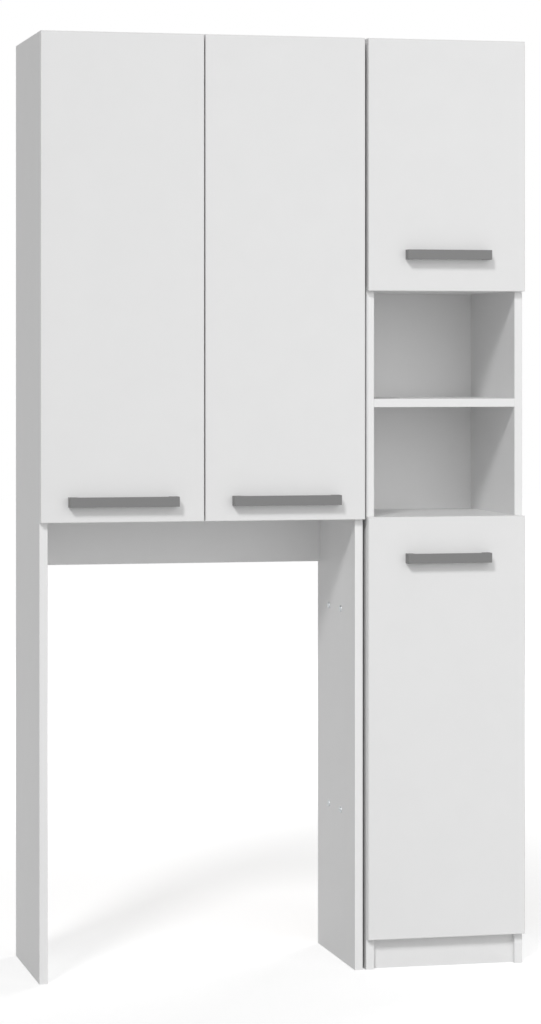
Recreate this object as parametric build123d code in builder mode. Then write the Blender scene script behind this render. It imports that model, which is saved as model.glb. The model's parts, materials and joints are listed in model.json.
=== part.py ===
from build123d import *
import os

# Bathroom cabinet in two units that stand side by side on the floor:
# a wide unit with a two-door cupboard above an open bay, and a narrow
# column with a short door, two open niches and a tall door. +Z is up
# and the doors face -Y. The origin is on the floor, under the middle
# of the whole.

os.makedirs("parts", exist_ok=True)

# Driving sizes, in millimetres

cabinet_height = 1825.0
bay_unit_width = 640.0
column_width = 320.0
unit_gap = 7.0
side_depth = 300.0
board = 16.0
door_board = 16.0
door_gap = 2.0
door_seam = 3.0
edge_round = 0.8
handle_reach = 24.0

# Heights of the fixed boards, all to their undersides
cupboard_floor_z = 884.0
niche_ceiling_z = 1331.0
niche_shelf_z = 1103.0
niche_floor_z = 872.0
column_bottom_z = 61.0

# Loose shelves: how far up the free height of its room each one lies
cupboard_shelf_shares = (0.318, 0.664)
top_room_shelf_shares = (0.491,)
tall_room_shelf_shares = (0.3245, 0.6715)
shelf_setback = 22.0
shelf_back_room = 6.0
shelf_end_room = 1.0

# Hardboard backs, let into a rebate along the rear of each side
back_board = 3.0
rebate_width = 8.0

# Rails
rail_height = 100.0
plinth_setback = 12.0
upright_bolt_share = 0.25
upright_dowel_share = 0.75

# Shelf pins
pin_radius = 2.5
pin_hole_radius = 2.6
pin_hole_depth = 9.0
pin_length = 16.0
pin_collar_radius = 4.0
pin_collar_thickness = 0.8
pin_row_front = 59.0
pin_row_rear = 55.0

# Knock-down fittings: a hollow round cam, the bolt whose head it grips,
# and a beech dowel
cam_radius = 7.4
cam_bore_radius = 7.5
cam_depth = 12.5
cam_inset = 34.0
cam_slot_width = 1.6
cam_slot_depth = 1.5
cam_slot_length = 9.0
cam_hollow_radius = 5.4
cam_hollow_height = 7.6
cam_neck_slot = 4.6
bolt_radius = 3.4
bolt_bore_radius = 3.5
bolt_shank_end = 24.0
bolt_neck_radius = 1.9
bolt_head_radius = 3.3
bolt_head_length = 3.5
bolt_end_round = 0.8
dowel_radius = 3.9
dowel_end_bevel = 0.8
dowel_bore_radius = 4.0
side_bore_depth = 11.0
dowel_end_depth = 19.0
fitting_row_front = 50.0
fitting_row_rear = 50.0

# Two-part connector bolts and spacer discs between the two units: a
# headed sleeve from one side and a headed screw from the other
link_bolt_radius = 3.0
link_bore_radius = 3.1
link_screw_radius = 2.0
link_screw_room = 0.1
link_screw_short = 7.0
link_sleeve_short = 4.0
link_head_radius = 6.5
link_head_height = 2.5
link_head_round = 1.2
spacer_radius = 9.0
tall_room_link_shares = (0.28, 0.784)
top_room_link_shares = (0.115, 0.905)
link_row_front = 110.0
link_row_rear = 95.0

# Wall brackets inside the cupboards, under the top boards
bracket_leg = 34.0
bracket_width = 24.0
bracket_sheet = 2.0
bracket_bend = 3.0
bracket_hole_radius = 3.0
bracket_inset = 70.0
bracket_screw_radius = 2.0
bracket_screw_room = 0.1
bracket_screw_length = 14.0
bracket_screw_head_radius = 4.0
bracket_screw_head_height = 2.0
bracket_screw_share = 0.5

# Concealed cup hinge, in its own frame: x from the outer face of the
# side board, y from the front of the closed door, z from mid height
cup_x = 22.5
cup_radius = 17.5
cup_pocket_room = 0.1
cup_depth = 12.2
cup_wall = 1.2
cup_floor = 1.0
lug_thickness = 1.6
lug_inner_z = 5.2
lug_right_x = 13.4
lug_top_y = 15.0
door_pin_x = 10.1
door_pin_y = 12.0
arm_pin_x = 29.5
arm_pin_y = 19.0
lever_bend_x = 17.4
lever_bend_y = 7.2
lever_width = 3.4
lever_half_height = 5.0
lever_hub_radius = 2.6
hinge_pin_radius = 1.5
hinge_bore_radius = 1.56
arm_nose_radius = 2.8
arm_left_x = 24.5
arm_neck_y = 29.0
arm_rear_y = 76.0
arm_web_y = 25.0
arm_sheet = 1.5
base_thickness = 1.5
base_front_y = 46.0
base_rear_y = 64.0
base_half_height = 23.0
base_corner = 7.0
block_front_y = 42.0
block_rear_y = 72.0
block_half_height = 5.1
arm_screw_ys = (49.0, 66.0)
arm_screw_radius = 1.9
arm_screw_room = 0.1
arm_screw_depth = 9.0
arm_head_radius = 3.3
arm_head_height = 1.5
plate_screw_y = 55.0
plate_screw_z = 16.0
plate_screw_radius = 2.4
plate_screw_room = 0.1
plate_screw_depth = 11.0
plate_head_radius = 4.0
plate_head_height = 1.8
ear_x = 32.0
ear_half_width = 5.0
ear_corner_share = 0.9
ear_outer_z = 29.0
ear_sheet = 1.2
flange_rim = 1.3
flange_left_x = 12.0
ear_screw_z = 24.0
ear_screw_radius = 1.9
ear_screw_depth = 10.5
ear_head_radius = 3.5
ear_head_height = 1.4

# How far up its door each hinge sits, between the end boards: a cup
# needs this much room to the board behind the door's end
hinge_end_room = 2.0
wide_hinge_shares = (0.0624, 0.5, 0.9376)
top_hinge_shares = (0.13, 0.87)
tall_hinge_shares = (0.071, 0.929)

# Bar handles in two lengths, and their screws
long_handle = 213.0
long_handle_leg = 16.0
long_handle_inner_round = 11.0
long_handle_pitch = 192.0
short_handle = 170.0
short_handle_leg = 14.0
short_handle_inner_round = 8.0
short_handle_pitch = 160.0
handle_height = 19.0
handle_bar = 6.0
handle_edge_round = 0.6
handle_screw_radius = 2.0
handle_screw_room = 0.1
handle_thread_depth = 12.0
handle_head_radius = 4.0
handle_head_height = 2.2
wide_handle_rise = 39.5
top_handle_rise = 71.0
tall_handle_drop = 81.0

# Soft pads on the doors' free corners, as thick as the door gap
pad_radius = 4.0
pad_round = 0.7
pad_side_inset = 22.0
pad_end_inset = 8.0

# Derived places

low = (Align.MIN, Align.MIN, Align.MIN)
flat_low = (Align.MIN, Align.MIN)
along_x = (0, 90, 0)
along_y = (90, 0, 0)

total_width = bay_unit_width + unit_gap + column_width
total_depth = handle_reach + door_board + door_gap + side_depth
bay_x0 = -total_width / 2
bay_x1 = bay_x0 + bay_unit_width
col_x0 = bay_x1 + unit_gap
col_x1 = col_x0 + column_width
door_y0 = -total_depth / 2 + handle_reach
door_y1 = door_y0 + door_board
front_y = door_y1 + door_gap
rear_y = front_y + side_depth
board_depth = side_depth - back_board
top_z = cabinet_height - board
shelf_depth = board_depth - shelf_setback - shelf_back_room

bay_in0 = bay_x0 + board
bay_in1 = bay_x1 - board
col_in0 = col_x0 + board
col_in1 = col_x1 - board
bay_inner = bay_in1 - bay_in0
col_inner = col_in1 - col_in0

row_front_y = front_y + fitting_row_front
row_rear_y = rear_y - fitting_row_rear
dowel_y = (row_front_y + row_rear_y) / 2
pin_rows = (front_y + pin_row_front, rear_y - pin_row_rear)
link_rows = (front_y + link_row_front, rear_y - link_row_rear)
rail_z0 = cupboard_floor_z - rail_height
rail_y0 = rear_y - back_board - board
rail_mid_y = rail_y0 + board / 2
plinth_y0 = front_y + plinth_setback
plinth_mid_y = plinth_y0 + board / 2

bay_levels = (cupboard_floor_z, top_z)
col_levels = (column_bottom_z, niche_floor_z, niche_shelf_z, niche_ceiling_z, top_z)
# A cam opens downwards, or upwards where the underside is in view
col_cam_up = (niche_ceiling_z,)

bolt_rows = (row_front_y, row_rear_y)
rail_bolt_spot = (rail_mid_y, rail_z0 + rail_height * upright_bolt_share)
rail_dowel_spot = (rail_mid_y, rail_z0 + rail_height * upright_dowel_share)
plinth_bolt_spot = (plinth_mid_y, column_bottom_z * upright_bolt_share)
plinth_dowel_spot = (plinth_mid_y, column_bottom_z * upright_dowel_share)
bay_side_bolt_spots = [(y, z + board / 2) for z in bay_levels for y in bolt_rows] + [rail_bolt_spot]
bay_side_dowel_spots = [(dowel_y, z + board / 2) for z in bay_levels] + [rail_dowel_spot]
col_side_bolt_spots = [(y, z + board / 2) for z in col_levels for y in bolt_rows] + [plinth_bolt_spot]
col_side_dowel_spots = [(dowel_y, z + board / 2) for z in col_levels] + [plinth_dowel_spot]


def heights_between(z0, z1, shares):
    """Heights at these shares of the way from z0 to z1."""
    return [z0 + (z1 - z0) * share for share in shares]


cupboard_room = (cupboard_floor_z + board, top_z)
top_room = (niche_ceiling_z + board, top_z)
tall_room = (column_bottom_z + board, niche_floor_z)
cupboard_shelf_heights = heights_between(cupboard_room[0], cupboard_room[1] - board, cupboard_shelf_shares)
top_shelf_heights = heights_between(top_room[0], top_room[1] - board, top_room_shelf_shares)
tall_shelf_heights = heights_between(tall_room[0], tall_room[1] - board, tall_room_shelf_shares)
link_heights = heights_between(*tall_room, tall_room_link_shares)
link_heights += heights_between(*top_room, top_room_link_shares)
bay_pin_spots = [(y, z - pin_radius) for z in cupboard_shelf_heights for y in pin_rows]
col_pin_spots = [(y, z - pin_radius) for z in tall_shelf_heights + top_shelf_heights for y in pin_rows]
link_spots = [(y, z) for z in link_heights for y in link_rows]
bracket_y1 = rear_y - back_board
bracket_screw_y = bracket_y1 - bracket_leg * bracket_screw_share
bracket_hole_z = top_z - bracket_leg * bracket_screw_share
bay_bracket_xs = (bay_in0 + bracket_inset, bay_in1 - bracket_inset)
col_bracket_xs = (col_in0 + bracket_inset, col_in1 - bracket_inset)
bracket_xs = bay_bracket_xs + col_bracket_xs

wide_door_z0 = cupboard_floor_z
wide_door_height = cabinet_height - wide_door_z0
top_door_z0 = niche_ceiling_z
top_door_height = cabinet_height - top_door_z0
tall_door_z0 = column_bottom_z
tall_door_height = niche_floor_z + board - tall_door_z0
wide_door_width = (bay_unit_width - door_seam) / 2
hinge_from_end = board + ear_outer_z + hinge_end_room


def hinges_on_door(x_edge, z0, height, shares):
    """Where a door's hinges sit: on its outer edge, between its end boards."""
    free_heights = heights_between(z0 + hinge_from_end, z0 + height - hinge_from_end, shares)
    return [(x_edge, door_y0, z) for z in free_heights]


left_hinge_spots = hinges_on_door(bay_x0, wide_door_z0, wide_door_height, wide_hinge_shares)
bay_right_hinge_spots = hinges_on_door(bay_x1, wide_door_z0, wide_door_height, wide_hinge_shares)
top_hinge_spots = hinges_on_door(col_x1, top_door_z0, top_door_height, top_hinge_shares)
tall_hinge_spots = hinges_on_door(col_x1, tall_door_z0, tall_door_height, tall_hinge_shares)
right_hinge_spots = bay_right_hinge_spots + top_hinge_spots + tall_hinge_spots


def side_bores(face_x, bolt_spots, dowel_spots, pin_spots):
    """Blind bores in a side board, sunk from its inner face."""
    with Locations(*[(face_x, y, z) for y, z in bolt_spots]):
        Cylinder(bolt_bore_radius, 2 * side_bore_depth, rotation=along_x, mode=Mode.SUBTRACT)
    with Locations(*[(face_x, y, z) for y, z in dowel_spots]):
        Cylinder(dowel_bore_radius, 2 * side_bore_depth, rotation=along_x, mode=Mode.SUBTRACT)
    with Locations(*[(face_x, y, z) for y, z in pin_spots]):
        Cylinder(pin_hole_radius, 2 * pin_hole_depth, rotation=along_x, mode=Mode.SUBTRACT)


def plate_screw_bores(face_x, hinge_spots):
    """Bores for the screws of the hinge plates, sunk from the inner face."""
    with Locations(*[(face_x, y + plate_screw_y, z + s * plate_screw_z)
                     for _, y, z in hinge_spots for s in (-1, 1)]):
        Cylinder(plate_screw_radius + plate_screw_room, 2 * plate_screw_depth, rotation=along_x,
                 mode=Mode.SUBTRACT)


def side_board(x):
    """A full-height side board, before its rebate and bores."""
    with Locations((x, front_y, 0)):
        Box(board, side_depth, cabinet_height, align=low)


def rebate(x):
    with Locations((x, rear_y - back_board, 0)):
        Box(rebate_width, back_board, cabinet_height, align=low, mode=Mode.SUBTRACT)


def link_bores(x):
    with Locations(*[(x, y, z) for y, z in link_spots]):
        Cylinder(link_bore_radius, 2 * board, rotation=along_x, mode=Mode.SUBTRACT)


def round_front(part):
    """Soft edge banding along the two upright front edges of a side."""
    fillet(part.edges().filter_by(Axis.Z).group_by(Axis.Y)[0], radius=edge_round)


# Sides

with BuildPart() as bay_side_left:
    side_board(bay_x0)
    round_front(bay_side_left)
    rebate(bay_in0 - rebate_width)
    side_bores(bay_in0, bay_side_bolt_spots, bay_side_dowel_spots, bay_pin_spots)
    plate_screw_bores(bay_in0, left_hinge_spots)

with BuildPart() as bay_side_right:
    side_board(bay_in1)
    round_front(bay_side_right)
    rebate(bay_in1)
    side_bores(bay_in1, bay_side_bolt_spots, bay_side_dowel_spots, bay_pin_spots)
    plate_screw_bores(bay_in1, bay_right_hinge_spots)
    link_bores(bay_in1 + board / 2)

with BuildPart() as column_side_left:
    side_board(col_x0)
    round_front(column_side_left)
    rebate(col_in0 - rebate_width)
    side_bores(col_in0, col_side_bolt_spots, col_side_dowel_spots, col_pin_spots)
    link_bores(col_x0 + board / 2)

with BuildPart() as column_side_right:
    side_board(col_in1)
    round_front(column_side_right)
    rebate(col_in1)
    side_bores(col_in1, col_side_bolt_spots, col_side_dowel_spots, col_pin_spots)
    plate_screw_bores(col_in1, top_hinge_spots + tall_hinge_spots)


# Fixed boards between the sides

def fixed_board(x0, x1, z, cams_up):
    """A board with two cams, two bolt bores and a dowel bore at each end."""
    with Locations((x0, front_y, z)):
        Box(x1 - x0, board_depth, board, align=low)
    mid_z = z + board / 2
    cam_face_z = z + board if cams_up else z
    with Locations(*[(x, y, mid_z) for x in (x0, x1) for y in bolt_rows]):
        Cylinder(bolt_bore_radius, 2 * cam_inset, rotation=along_x, mode=Mode.SUBTRACT)
    with Locations(*[(x, dowel_y, mid_z) for x in (x0, x1)]):
        Cylinder(dowel_bore_radius, 2 * dowel_end_depth, rotation=along_x, mode=Mode.SUBTRACT)
    with Locations(*[(x, y, cam_face_z) for x in (x0 + cam_inset, x1 - cam_inset)
                     for y in bolt_rows]):
        Cylinder(cam_bore_radius, 2 * cam_depth, mode=Mode.SUBTRACT)


def bracket_bores(xs):
    """Pilot bores for the upright screws of the two wall brackets of a unit."""
    with Locations(*[(x, bracket_screw_y, top_z) for x in xs]):
        Cylinder(bracket_screw_radius, 2 * (bracket_screw_length - bracket_sheet), mode=Mode.SUBTRACT)


with BuildPart() as bay_unit_top:
    fixed_board(bay_in0, bay_in1, top_z, False)
    bracket_bores(bay_bracket_xs)

with BuildPart() as cupboard_floor:
    fixed_board(bay_in0, bay_in1, cupboard_floor_z, False)

with BuildPart() as column_top:
    fixed_board(col_in0, col_in1, top_z, False)
    bracket_bores(col_bracket_xs)

with BuildPart() as niche_ceiling:
    fixed_board(col_in0, col_in1, niche_ceiling_z, True)

with BuildPart() as niche_shelf:
    fixed_board(col_in0, col_in1, niche_shelf_z, False)

with BuildPart() as niche_floor:
    fixed_board(col_in0, col_in1, niche_floor_z, False)

with BuildPart() as column_bottom:
    fixed_board(col_in0, col_in1, column_bottom_z, False)


def upright_rail(x0, x1, y0, z0, height, bolt_spot, dowel_spot):
    """A board on edge whose cams open to the rear, with one bolt and one dowel per end."""
    with Locations((x0, y0, z0)):
        Box(x1 - x0, board, height, align=low)
    with Locations(*[(x, bolt_spot[0], bolt_spot[1]) for x in (x0, x1)]):
        Cylinder(bolt_bore_radius, 2 * cam_inset, rotation=along_x, mode=Mode.SUBTRACT)
    with Locations(*[(x, dowel_spot[0], dowel_spot[1]) for x in (x0, x1)]):
        Cylinder(dowel_bore_radius, 2 * dowel_end_depth, rotation=along_x, mode=Mode.SUBTRACT)
    with Locations(*[(x, y0 + board, bolt_spot[1]) for x in (x0 + cam_inset, x1 - cam_inset)]):
        Cylinder(cam_bore_radius, 2 * cam_depth, rotation=along_y, mode=Mode.SUBTRACT)


with BuildPart() as rear_rail:
    upright_rail(bay_in0, bay_in1, rail_y0, rail_z0, rail_height, rail_bolt_spot, rail_dowel_spot)

with BuildPart() as plinth:
    upright_rail(col_in0, col_in1, plinth_y0, 0, column_bottom_z, plinth_bolt_spot, plinth_dowel_spot)


# Loose shelves

def loose_shelf(x0, x1, z):
    with Locations((x0 + shelf_end_room, front_y + shelf_setback, z)):
        Box(x1 - x0 - 2 * shelf_end_room, shelf_depth, board, align=low)


with BuildPart() as cupboard_shelf_low:
    loose_shelf(bay_in0, bay_in1, cupboard_shelf_heights[0])

with BuildPart() as cupboard_shelf_high:
    loose_shelf(bay_in0, bay_in1, cupboard_shelf_heights[1])

with BuildPart() as column_shelf_top:
    loose_shelf(col_in0, col_in1, top_shelf_heights[0])

with BuildPart() as column_shelf_low:
    loose_shelf(col_in0, col_in1, tall_shelf_heights[0])

with BuildPart() as column_shelf_mid:
    loose_shelf(col_in0, col_in1, tall_shelf_heights[1])


# Hardboard backs in the rebates

with BuildPart() as cupboard_back:
    with Locations((bay_in0 - rebate_width, rear_y - back_board, cupboard_floor_z)):
        Box(bay_inner + 2 * rebate_width, back_board, cabinet_height - cupboard_floor_z, align=low)
    with Locations(*[(x, rear_y, bracket_hole_z) for x in bay_bracket_xs]):
        Cylinder(bracket_hole_radius, 2 * back_board, rotation=along_y, mode=Mode.SUBTRACT)

with BuildPart() as column_back:
    with Locations((col_in0 - rebate_width, rear_y - back_board, column_bottom_z)):
        Box(col_inner + 2 * rebate_width, back_board, cabinet_height - column_bottom_z, align=low)
    with Locations(*[(x, rear_y, bracket_hole_z) for x in col_bracket_xs]):
        Cylinder(bracket_hole_radius, 2 * back_board, rotation=along_y, mode=Mode.SUBTRACT)


# Shelf pins

with BuildPart() as shelf_pins:
    for face_x, outward, spots in ((bay_in0, -1, bay_pin_spots), (bay_in1, 1, bay_pin_spots),
                                   (col_in0, -1, col_pin_spots), (col_in1, 1, col_pin_spots)):
        middle_x = face_x + outward * (pin_hole_depth - pin_length / 2)
        with Locations(*[(middle_x, y, z) for y, z in spots]):
            Cylinder(pin_radius, pin_length, rotation=along_x)
        # The collar stands in the gap between the side and the shelf's end
        collar_x = face_x - outward * pin_collar_thickness / 2
        with Locations(*[(collar_x, y, z) for y, z in spots]):
            Cylinder(pin_collar_radius, pin_collar_thickness, rotation=along_x)


# Knock-down fittings

# One cam for a bolt that comes from its left, standing with its slotted
# face at z = 0 and its body above. The bolt's head goes in by the wide
# mouth, and a turn then brings the narrow slot over the bolt's neck.
with BuildPart() as cam_master:
    Cylinder(cam_radius, cam_depth, align=(Align.CENTER, Align.CENTER, Align.MIN))
    Box(cam_slot_length, cam_slot_width, 2 * cam_slot_depth, mode=Mode.SUBTRACT)
    Box(cam_slot_width, cam_slot_length, 2 * cam_slot_depth, mode=Mode.SUBTRACT)
    with Locations((0, 0, board / 2)):
        Cylinder(cam_hollow_radius, cam_hollow_height, mode=Mode.SUBTRACT)
        Box(2 * cam_radius, cam_neck_slot, cam_neck_slot, align=(Align.MAX, Align.CENTER, Align.CENTER),
            mode=Mode.SUBTRACT)
        Box(cam_hollow_height, 2 * cam_radius, cam_hollow_height,
            align=(Align.CENTER, Align.MIN, Align.CENTER), mode=Mode.SUBTRACT)

# Which way a cam's body lies from its slotted face
up = (0, 0, 1)
down = (0, 0, -1)
forwards = (0, -1, 0)


def cam_pair(x0, x1, y, z, way):
    """The places of the two cams at the ends of a board, each with its bolt from outside."""
    return [Plane((x0 + cam_inset, y, z), x_dir=(1, 0, 0), z_dir=way),
            Plane((x1 - cam_inset, y, z), x_dir=(-1, 0, 0), z_dir=way)]


cam_places = []
for x0, x1, levels in ((bay_in0, bay_in1, bay_levels), (col_in0, col_in1, col_levels)):
    for z in levels:
        for y in bolt_rows:
            if z in col_cam_up:
                cam_places += cam_pair(x0, x1, y, z + board, down)
            else:
                cam_places += cam_pair(x0, x1, y, z, up)
cam_places += cam_pair(bay_in0, bay_in1, rail_y0 + board, rail_bolt_spot[1], forwards)
cam_places += cam_pair(col_in0, col_in1, plinth_y0 + board, plinth_bolt_spot[1], forwards)

with BuildPart() as cams:
    with Locations(*cam_places):
        add(cam_master.part)

# One cam bolt along +Z, with the side board's inner face at z = 0
with BuildPart() as cam_bolt_master:
    with Locations((0, 0, -side_bore_depth)):
        Cylinder(bolt_radius, side_bore_depth + bolt_shank_end,
                 align=(Align.CENTER, Align.CENTER, Align.MIN))
    fillet(cam_bolt_master.edges().filter_by(GeomType.CIRCLE), radius=bolt_end_round)
    Cylinder(bolt_neck_radius, cam_inset - bolt_head_length, align=(Align.CENTER, Align.CENTER, Align.MIN))
    with Locations((0, 0, cam_inset - bolt_head_length)):
        Cylinder(bolt_head_radius, bolt_head_length, align=(Align.CENTER, Align.CENTER, Align.MIN))
    fillet(cam_bolt_master.edges().group_by(Axis.Z)[-1], radius=bolt_end_round)

# One dowel along +Z, with the side board's inner face at z = 0
with BuildPart() as dowel_master:
    with Locations((0, 0, -side_bore_depth)):
        Cylinder(dowel_radius, side_bore_depth + dowel_end_depth,
                 align=(Align.CENTER, Align.CENTER, Align.MIN))
    chamfer(dowel_master.edges().filter_by(GeomType.CIRCLE), length=dowel_end_bevel)


def end_places(x0, x1, spots):
    """Places on both inner faces of a unit's sides, looking into the unit."""
    return [Plane((x, y, z), z_dir=(way, 0, 0)) for y, z in spots for x, way in ((x0, 1), (x1, -1))]


with BuildPart() as cam_bolts:
    with Locations(*end_places(bay_in0, bay_in1, bay_side_bolt_spots)):
        add(cam_bolt_master.part)
    with Locations(*end_places(col_in0, col_in1, col_side_bolt_spots)):
        add(cam_bolt_master.part)

with BuildPart() as dowels:
    with Locations(*end_places(bay_in0, bay_in1, bay_side_dowel_spots)):
        add(dowel_master.part)
    with Locations(*end_places(col_in0, col_in1, col_side_dowel_spots)):
        add(dowel_master.part)


# What joins the two units

with BuildPart() as unit_spacers:
    with Locations(*[(bay_x1 + unit_gap / 2, y, z) for y, z in link_spots]):
        Cylinder(spacer_radius, unit_gap, rotation=along_x)
        Cylinder(link_bore_radius, unit_gap, rotation=along_x, mode=Mode.SUBTRACT)

link_length = 2 * board + unit_gap

# One sleeve and one screw along +X, with the wide unit's inner face at x = 0
with BuildPart() as link_sleeve:
    Cylinder(link_head_radius, link_head_height, rotation=along_x,
             align=(Align.CENTER, Align.CENTER, Align.MAX))
    fillet(link_sleeve.edges().group_by(Axis.X)[0], radius=link_head_round)
    Cylinder(link_bolt_radius, link_length - link_sleeve_short, rotation=along_x,
             align=(Align.CENTER, Align.CENTER, Align.MIN))
    with Locations((link_length, 0, 0)):
        Cylinder(link_screw_radius + link_screw_room, link_length - link_head_height, rotation=along_x,
                 align=(Align.CENTER, Align.CENTER, Align.MAX), mode=Mode.SUBTRACT)

with BuildPart() as link_screw:
    with Locations((link_length, 0, 0)):
        Cylinder(link_head_radius, link_head_height, rotation=along_x,
                 align=(Align.CENTER, Align.CENTER, Align.MIN))
    fillet(link_screw.edges().group_by(Axis.X)[-1], radius=link_head_round)
    with Locations((link_length, 0, 0)):
        Cylinder(link_screw_radius, link_length - link_screw_short, rotation=along_x,
                 align=(Align.CENTER, Align.CENTER, Align.MAX))

with BuildPart() as unit_bolts:
    with Locations(*[(bay_in1, y, z) for y, z in link_spots]):
        add(link_sleeve.part)
        add(link_screw.part)


# Wall brackets

with BuildPart() as bracket_master:
    with BuildSketch(Plane.YZ):
        with BuildLine():
            Polyline((bracket_y1, top_z), (bracket_y1 - bracket_leg, top_z),
                     (bracket_y1 - bracket_leg, top_z - bracket_sheet),
                     (bracket_y1 - bracket_sheet, top_z - bracket_sheet),
                     (bracket_y1 - bracket_sheet, top_z - bracket_leg),
                     (bracket_y1, top_z - bracket_leg), close=True)
        make_face()
    extrude(amount=bracket_width / 2, both=True)
    bends = bracket_master.edges().filter_by(Axis.X)
    outer_bend = bends.sort_by_distance((0, bracket_y1, top_z))[0]
    inner_bend = bends.sort_by_distance((0, bracket_y1 - bracket_sheet, top_z - bracket_sheet))[0]
    fillet(outer_bend, radius=bracket_bend)
    fillet(inner_bend, radius=bracket_bend - bracket_sheet)
    with Locations((0, bracket_screw_y, top_z)):
        Cylinder(bracket_screw_radius + bracket_screw_room, bracket_leg, mode=Mode.SUBTRACT)
    with Locations((0, bracket_y1, bracket_hole_z)):
        Cylinder(bracket_hole_radius, bracket_leg, rotation=along_y, mode=Mode.SUBTRACT)

with BuildPart() as wall_brackets:
    with Locations(*[(x, 0, 0) for x in bracket_xs]):
        add(bracket_master.part)

with BuildPart() as bracket_screws:
    with Locations(*[(x, bracket_screw_y, top_z - bracket_sheet) for x in bracket_xs]):
        Cylinder(bracket_screw_radius, bracket_screw_length, align=(Align.CENTER, Align.CENTER, Align.MIN))
        Cylinder(bracket_screw_head_radius, bracket_screw_head_height,
                 align=(Align.CENTER, Align.CENTER, Align.MAX))


# Concealed hinge masters, for a door hinged at its left
# A cranked lever joins the arm's front pin to the pin inside the cup. Lever
# and door turn together in a fixed ratio, so that the door first steps
# forwards out of the front plane and then swings clear of the side board.

cheek_heights = (lug_inner_z, -lug_inner_z - lug_thickness)
arm_top_x = arm_pin_x + arm_nose_radius


def arm_screw_bores():
    """Bores through the arm's web and into the plate's block."""
    with Locations(*[(arm_top_x, y, 0) for y in arm_screw_ys]):
        Cylinder(arm_screw_radius + arm_screw_room, 2 * arm_screw_depth, rotation=along_x,
                 mode=Mode.SUBTRACT)


with BuildPart() as arm_cheek:
    with BuildSketch(Plane.XY):
        with Locations((arm_pin_x, arm_pin_y)):
            Circle(arm_nose_radius)
        with BuildLine():
            Polyline((arm_top_x, arm_pin_y), (arm_top_x, arm_rear_y), (arm_left_x, arm_rear_y),
                     (arm_left_x, arm_neck_y), (arm_pin_x - arm_nose_radius, arm_pin_y), close=True)
        make_face()
    extrude(amount=lug_thickness)

with BuildPart() as arm_left:
    with Locations(*[(0, 0, z) for z in cheek_heights]):
        add(arm_cheek.part)
    with Locations((arm_top_x - arm_sheet, arm_web_y, 0)):
        Box(arm_sheet, arm_rear_y - arm_web_y, 2 * lug_inner_z + 2 * lug_thickness,
            align=(Align.MIN, Align.MIN, Align.CENTER))
    with Locations((arm_pin_x, arm_pin_y, 0)):
        Cylinder(hinge_pin_radius, 2 * lug_inner_z + 2 * lug_thickness)
    arm_screw_bores()

with BuildPart() as base_left:
    with Locations((board, (base_front_y + base_rear_y) / 2, 0)):
        Box(base_thickness, base_rear_y - base_front_y, 2 * base_half_height,
            align=(Align.MIN, Align.CENTER, Align.CENTER))
    fillet(base_left.edges().filter_by(Axis.X), radius=base_corner)
    with Locations((board, (block_front_y + block_rear_y) / 2, 0)):
        Box(arm_top_x - arm_sheet - board, block_rear_y - block_front_y, 2 * block_half_height,
            align=(Align.MIN, Align.CENTER, Align.CENTER))
    with Locations(*[(board, plate_screw_y, s * plate_screw_z) for s in (-1, 1)]):
        Cylinder(plate_screw_radius + plate_screw_room, 2 * board, rotation=along_x, mode=Mode.SUBTRACT)
    arm_screw_bores()

# The front screw shifts the arm sideways, the rear one clamps it to the plate
with BuildPart() as arm_screws_left:
    with Locations(*[(arm_top_x - arm_screw_depth / 2, y, 0) for y in arm_screw_ys]):
        Cylinder(arm_screw_radius, arm_screw_depth, rotation=along_x)
    with Locations(*[(arm_top_x + arm_head_height / 2, y, 0) for y in arm_screw_ys]):
        Cylinder(arm_head_radius, arm_head_height, rotation=along_x)

with BuildPart() as base_screw_left:
    with Locations(*[(board + base_thickness - plate_screw_depth / 2, plate_screw_y, s * plate_screw_z)
                     for s in (-1, 1)]):
        Cylinder(plate_screw_radius, plate_screw_depth, rotation=along_x)
    with Locations(*[(board + base_thickness + plate_head_height / 2, plate_screw_y, s * plate_screw_z)
                     for s in (-1, 1)]):
        Cylinder(plate_head_radius, plate_head_height, rotation=along_x)

with BuildPart() as lever_left:
    with BuildSketch(Plane.XY.offset(-lever_half_height)):
        for ax, ay, bx, by in ((door_pin_x, door_pin_y, lever_bend_x, lever_bend_y),
                               (lever_bend_x, lever_bend_y, arm_pin_x, arm_pin_y)):
            limb = Vector(bx - ax, by - ay)
            turn = Vector(1, 0, 0).get_signed_angle(limb, Vector(0, 0, 1))
            with Locations(Location(((ax + bx) / 2, (ay + by) / 2), turn)):
                SlotCenterToCenter(limb.length, lever_width)
        with Locations((door_pin_x, door_pin_y), (arm_pin_x, arm_pin_y)):
            Circle(lever_hub_radius)
            Circle(hinge_bore_radius, mode=Mode.SUBTRACT)
    extrude(amount=2 * lever_half_height)

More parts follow.
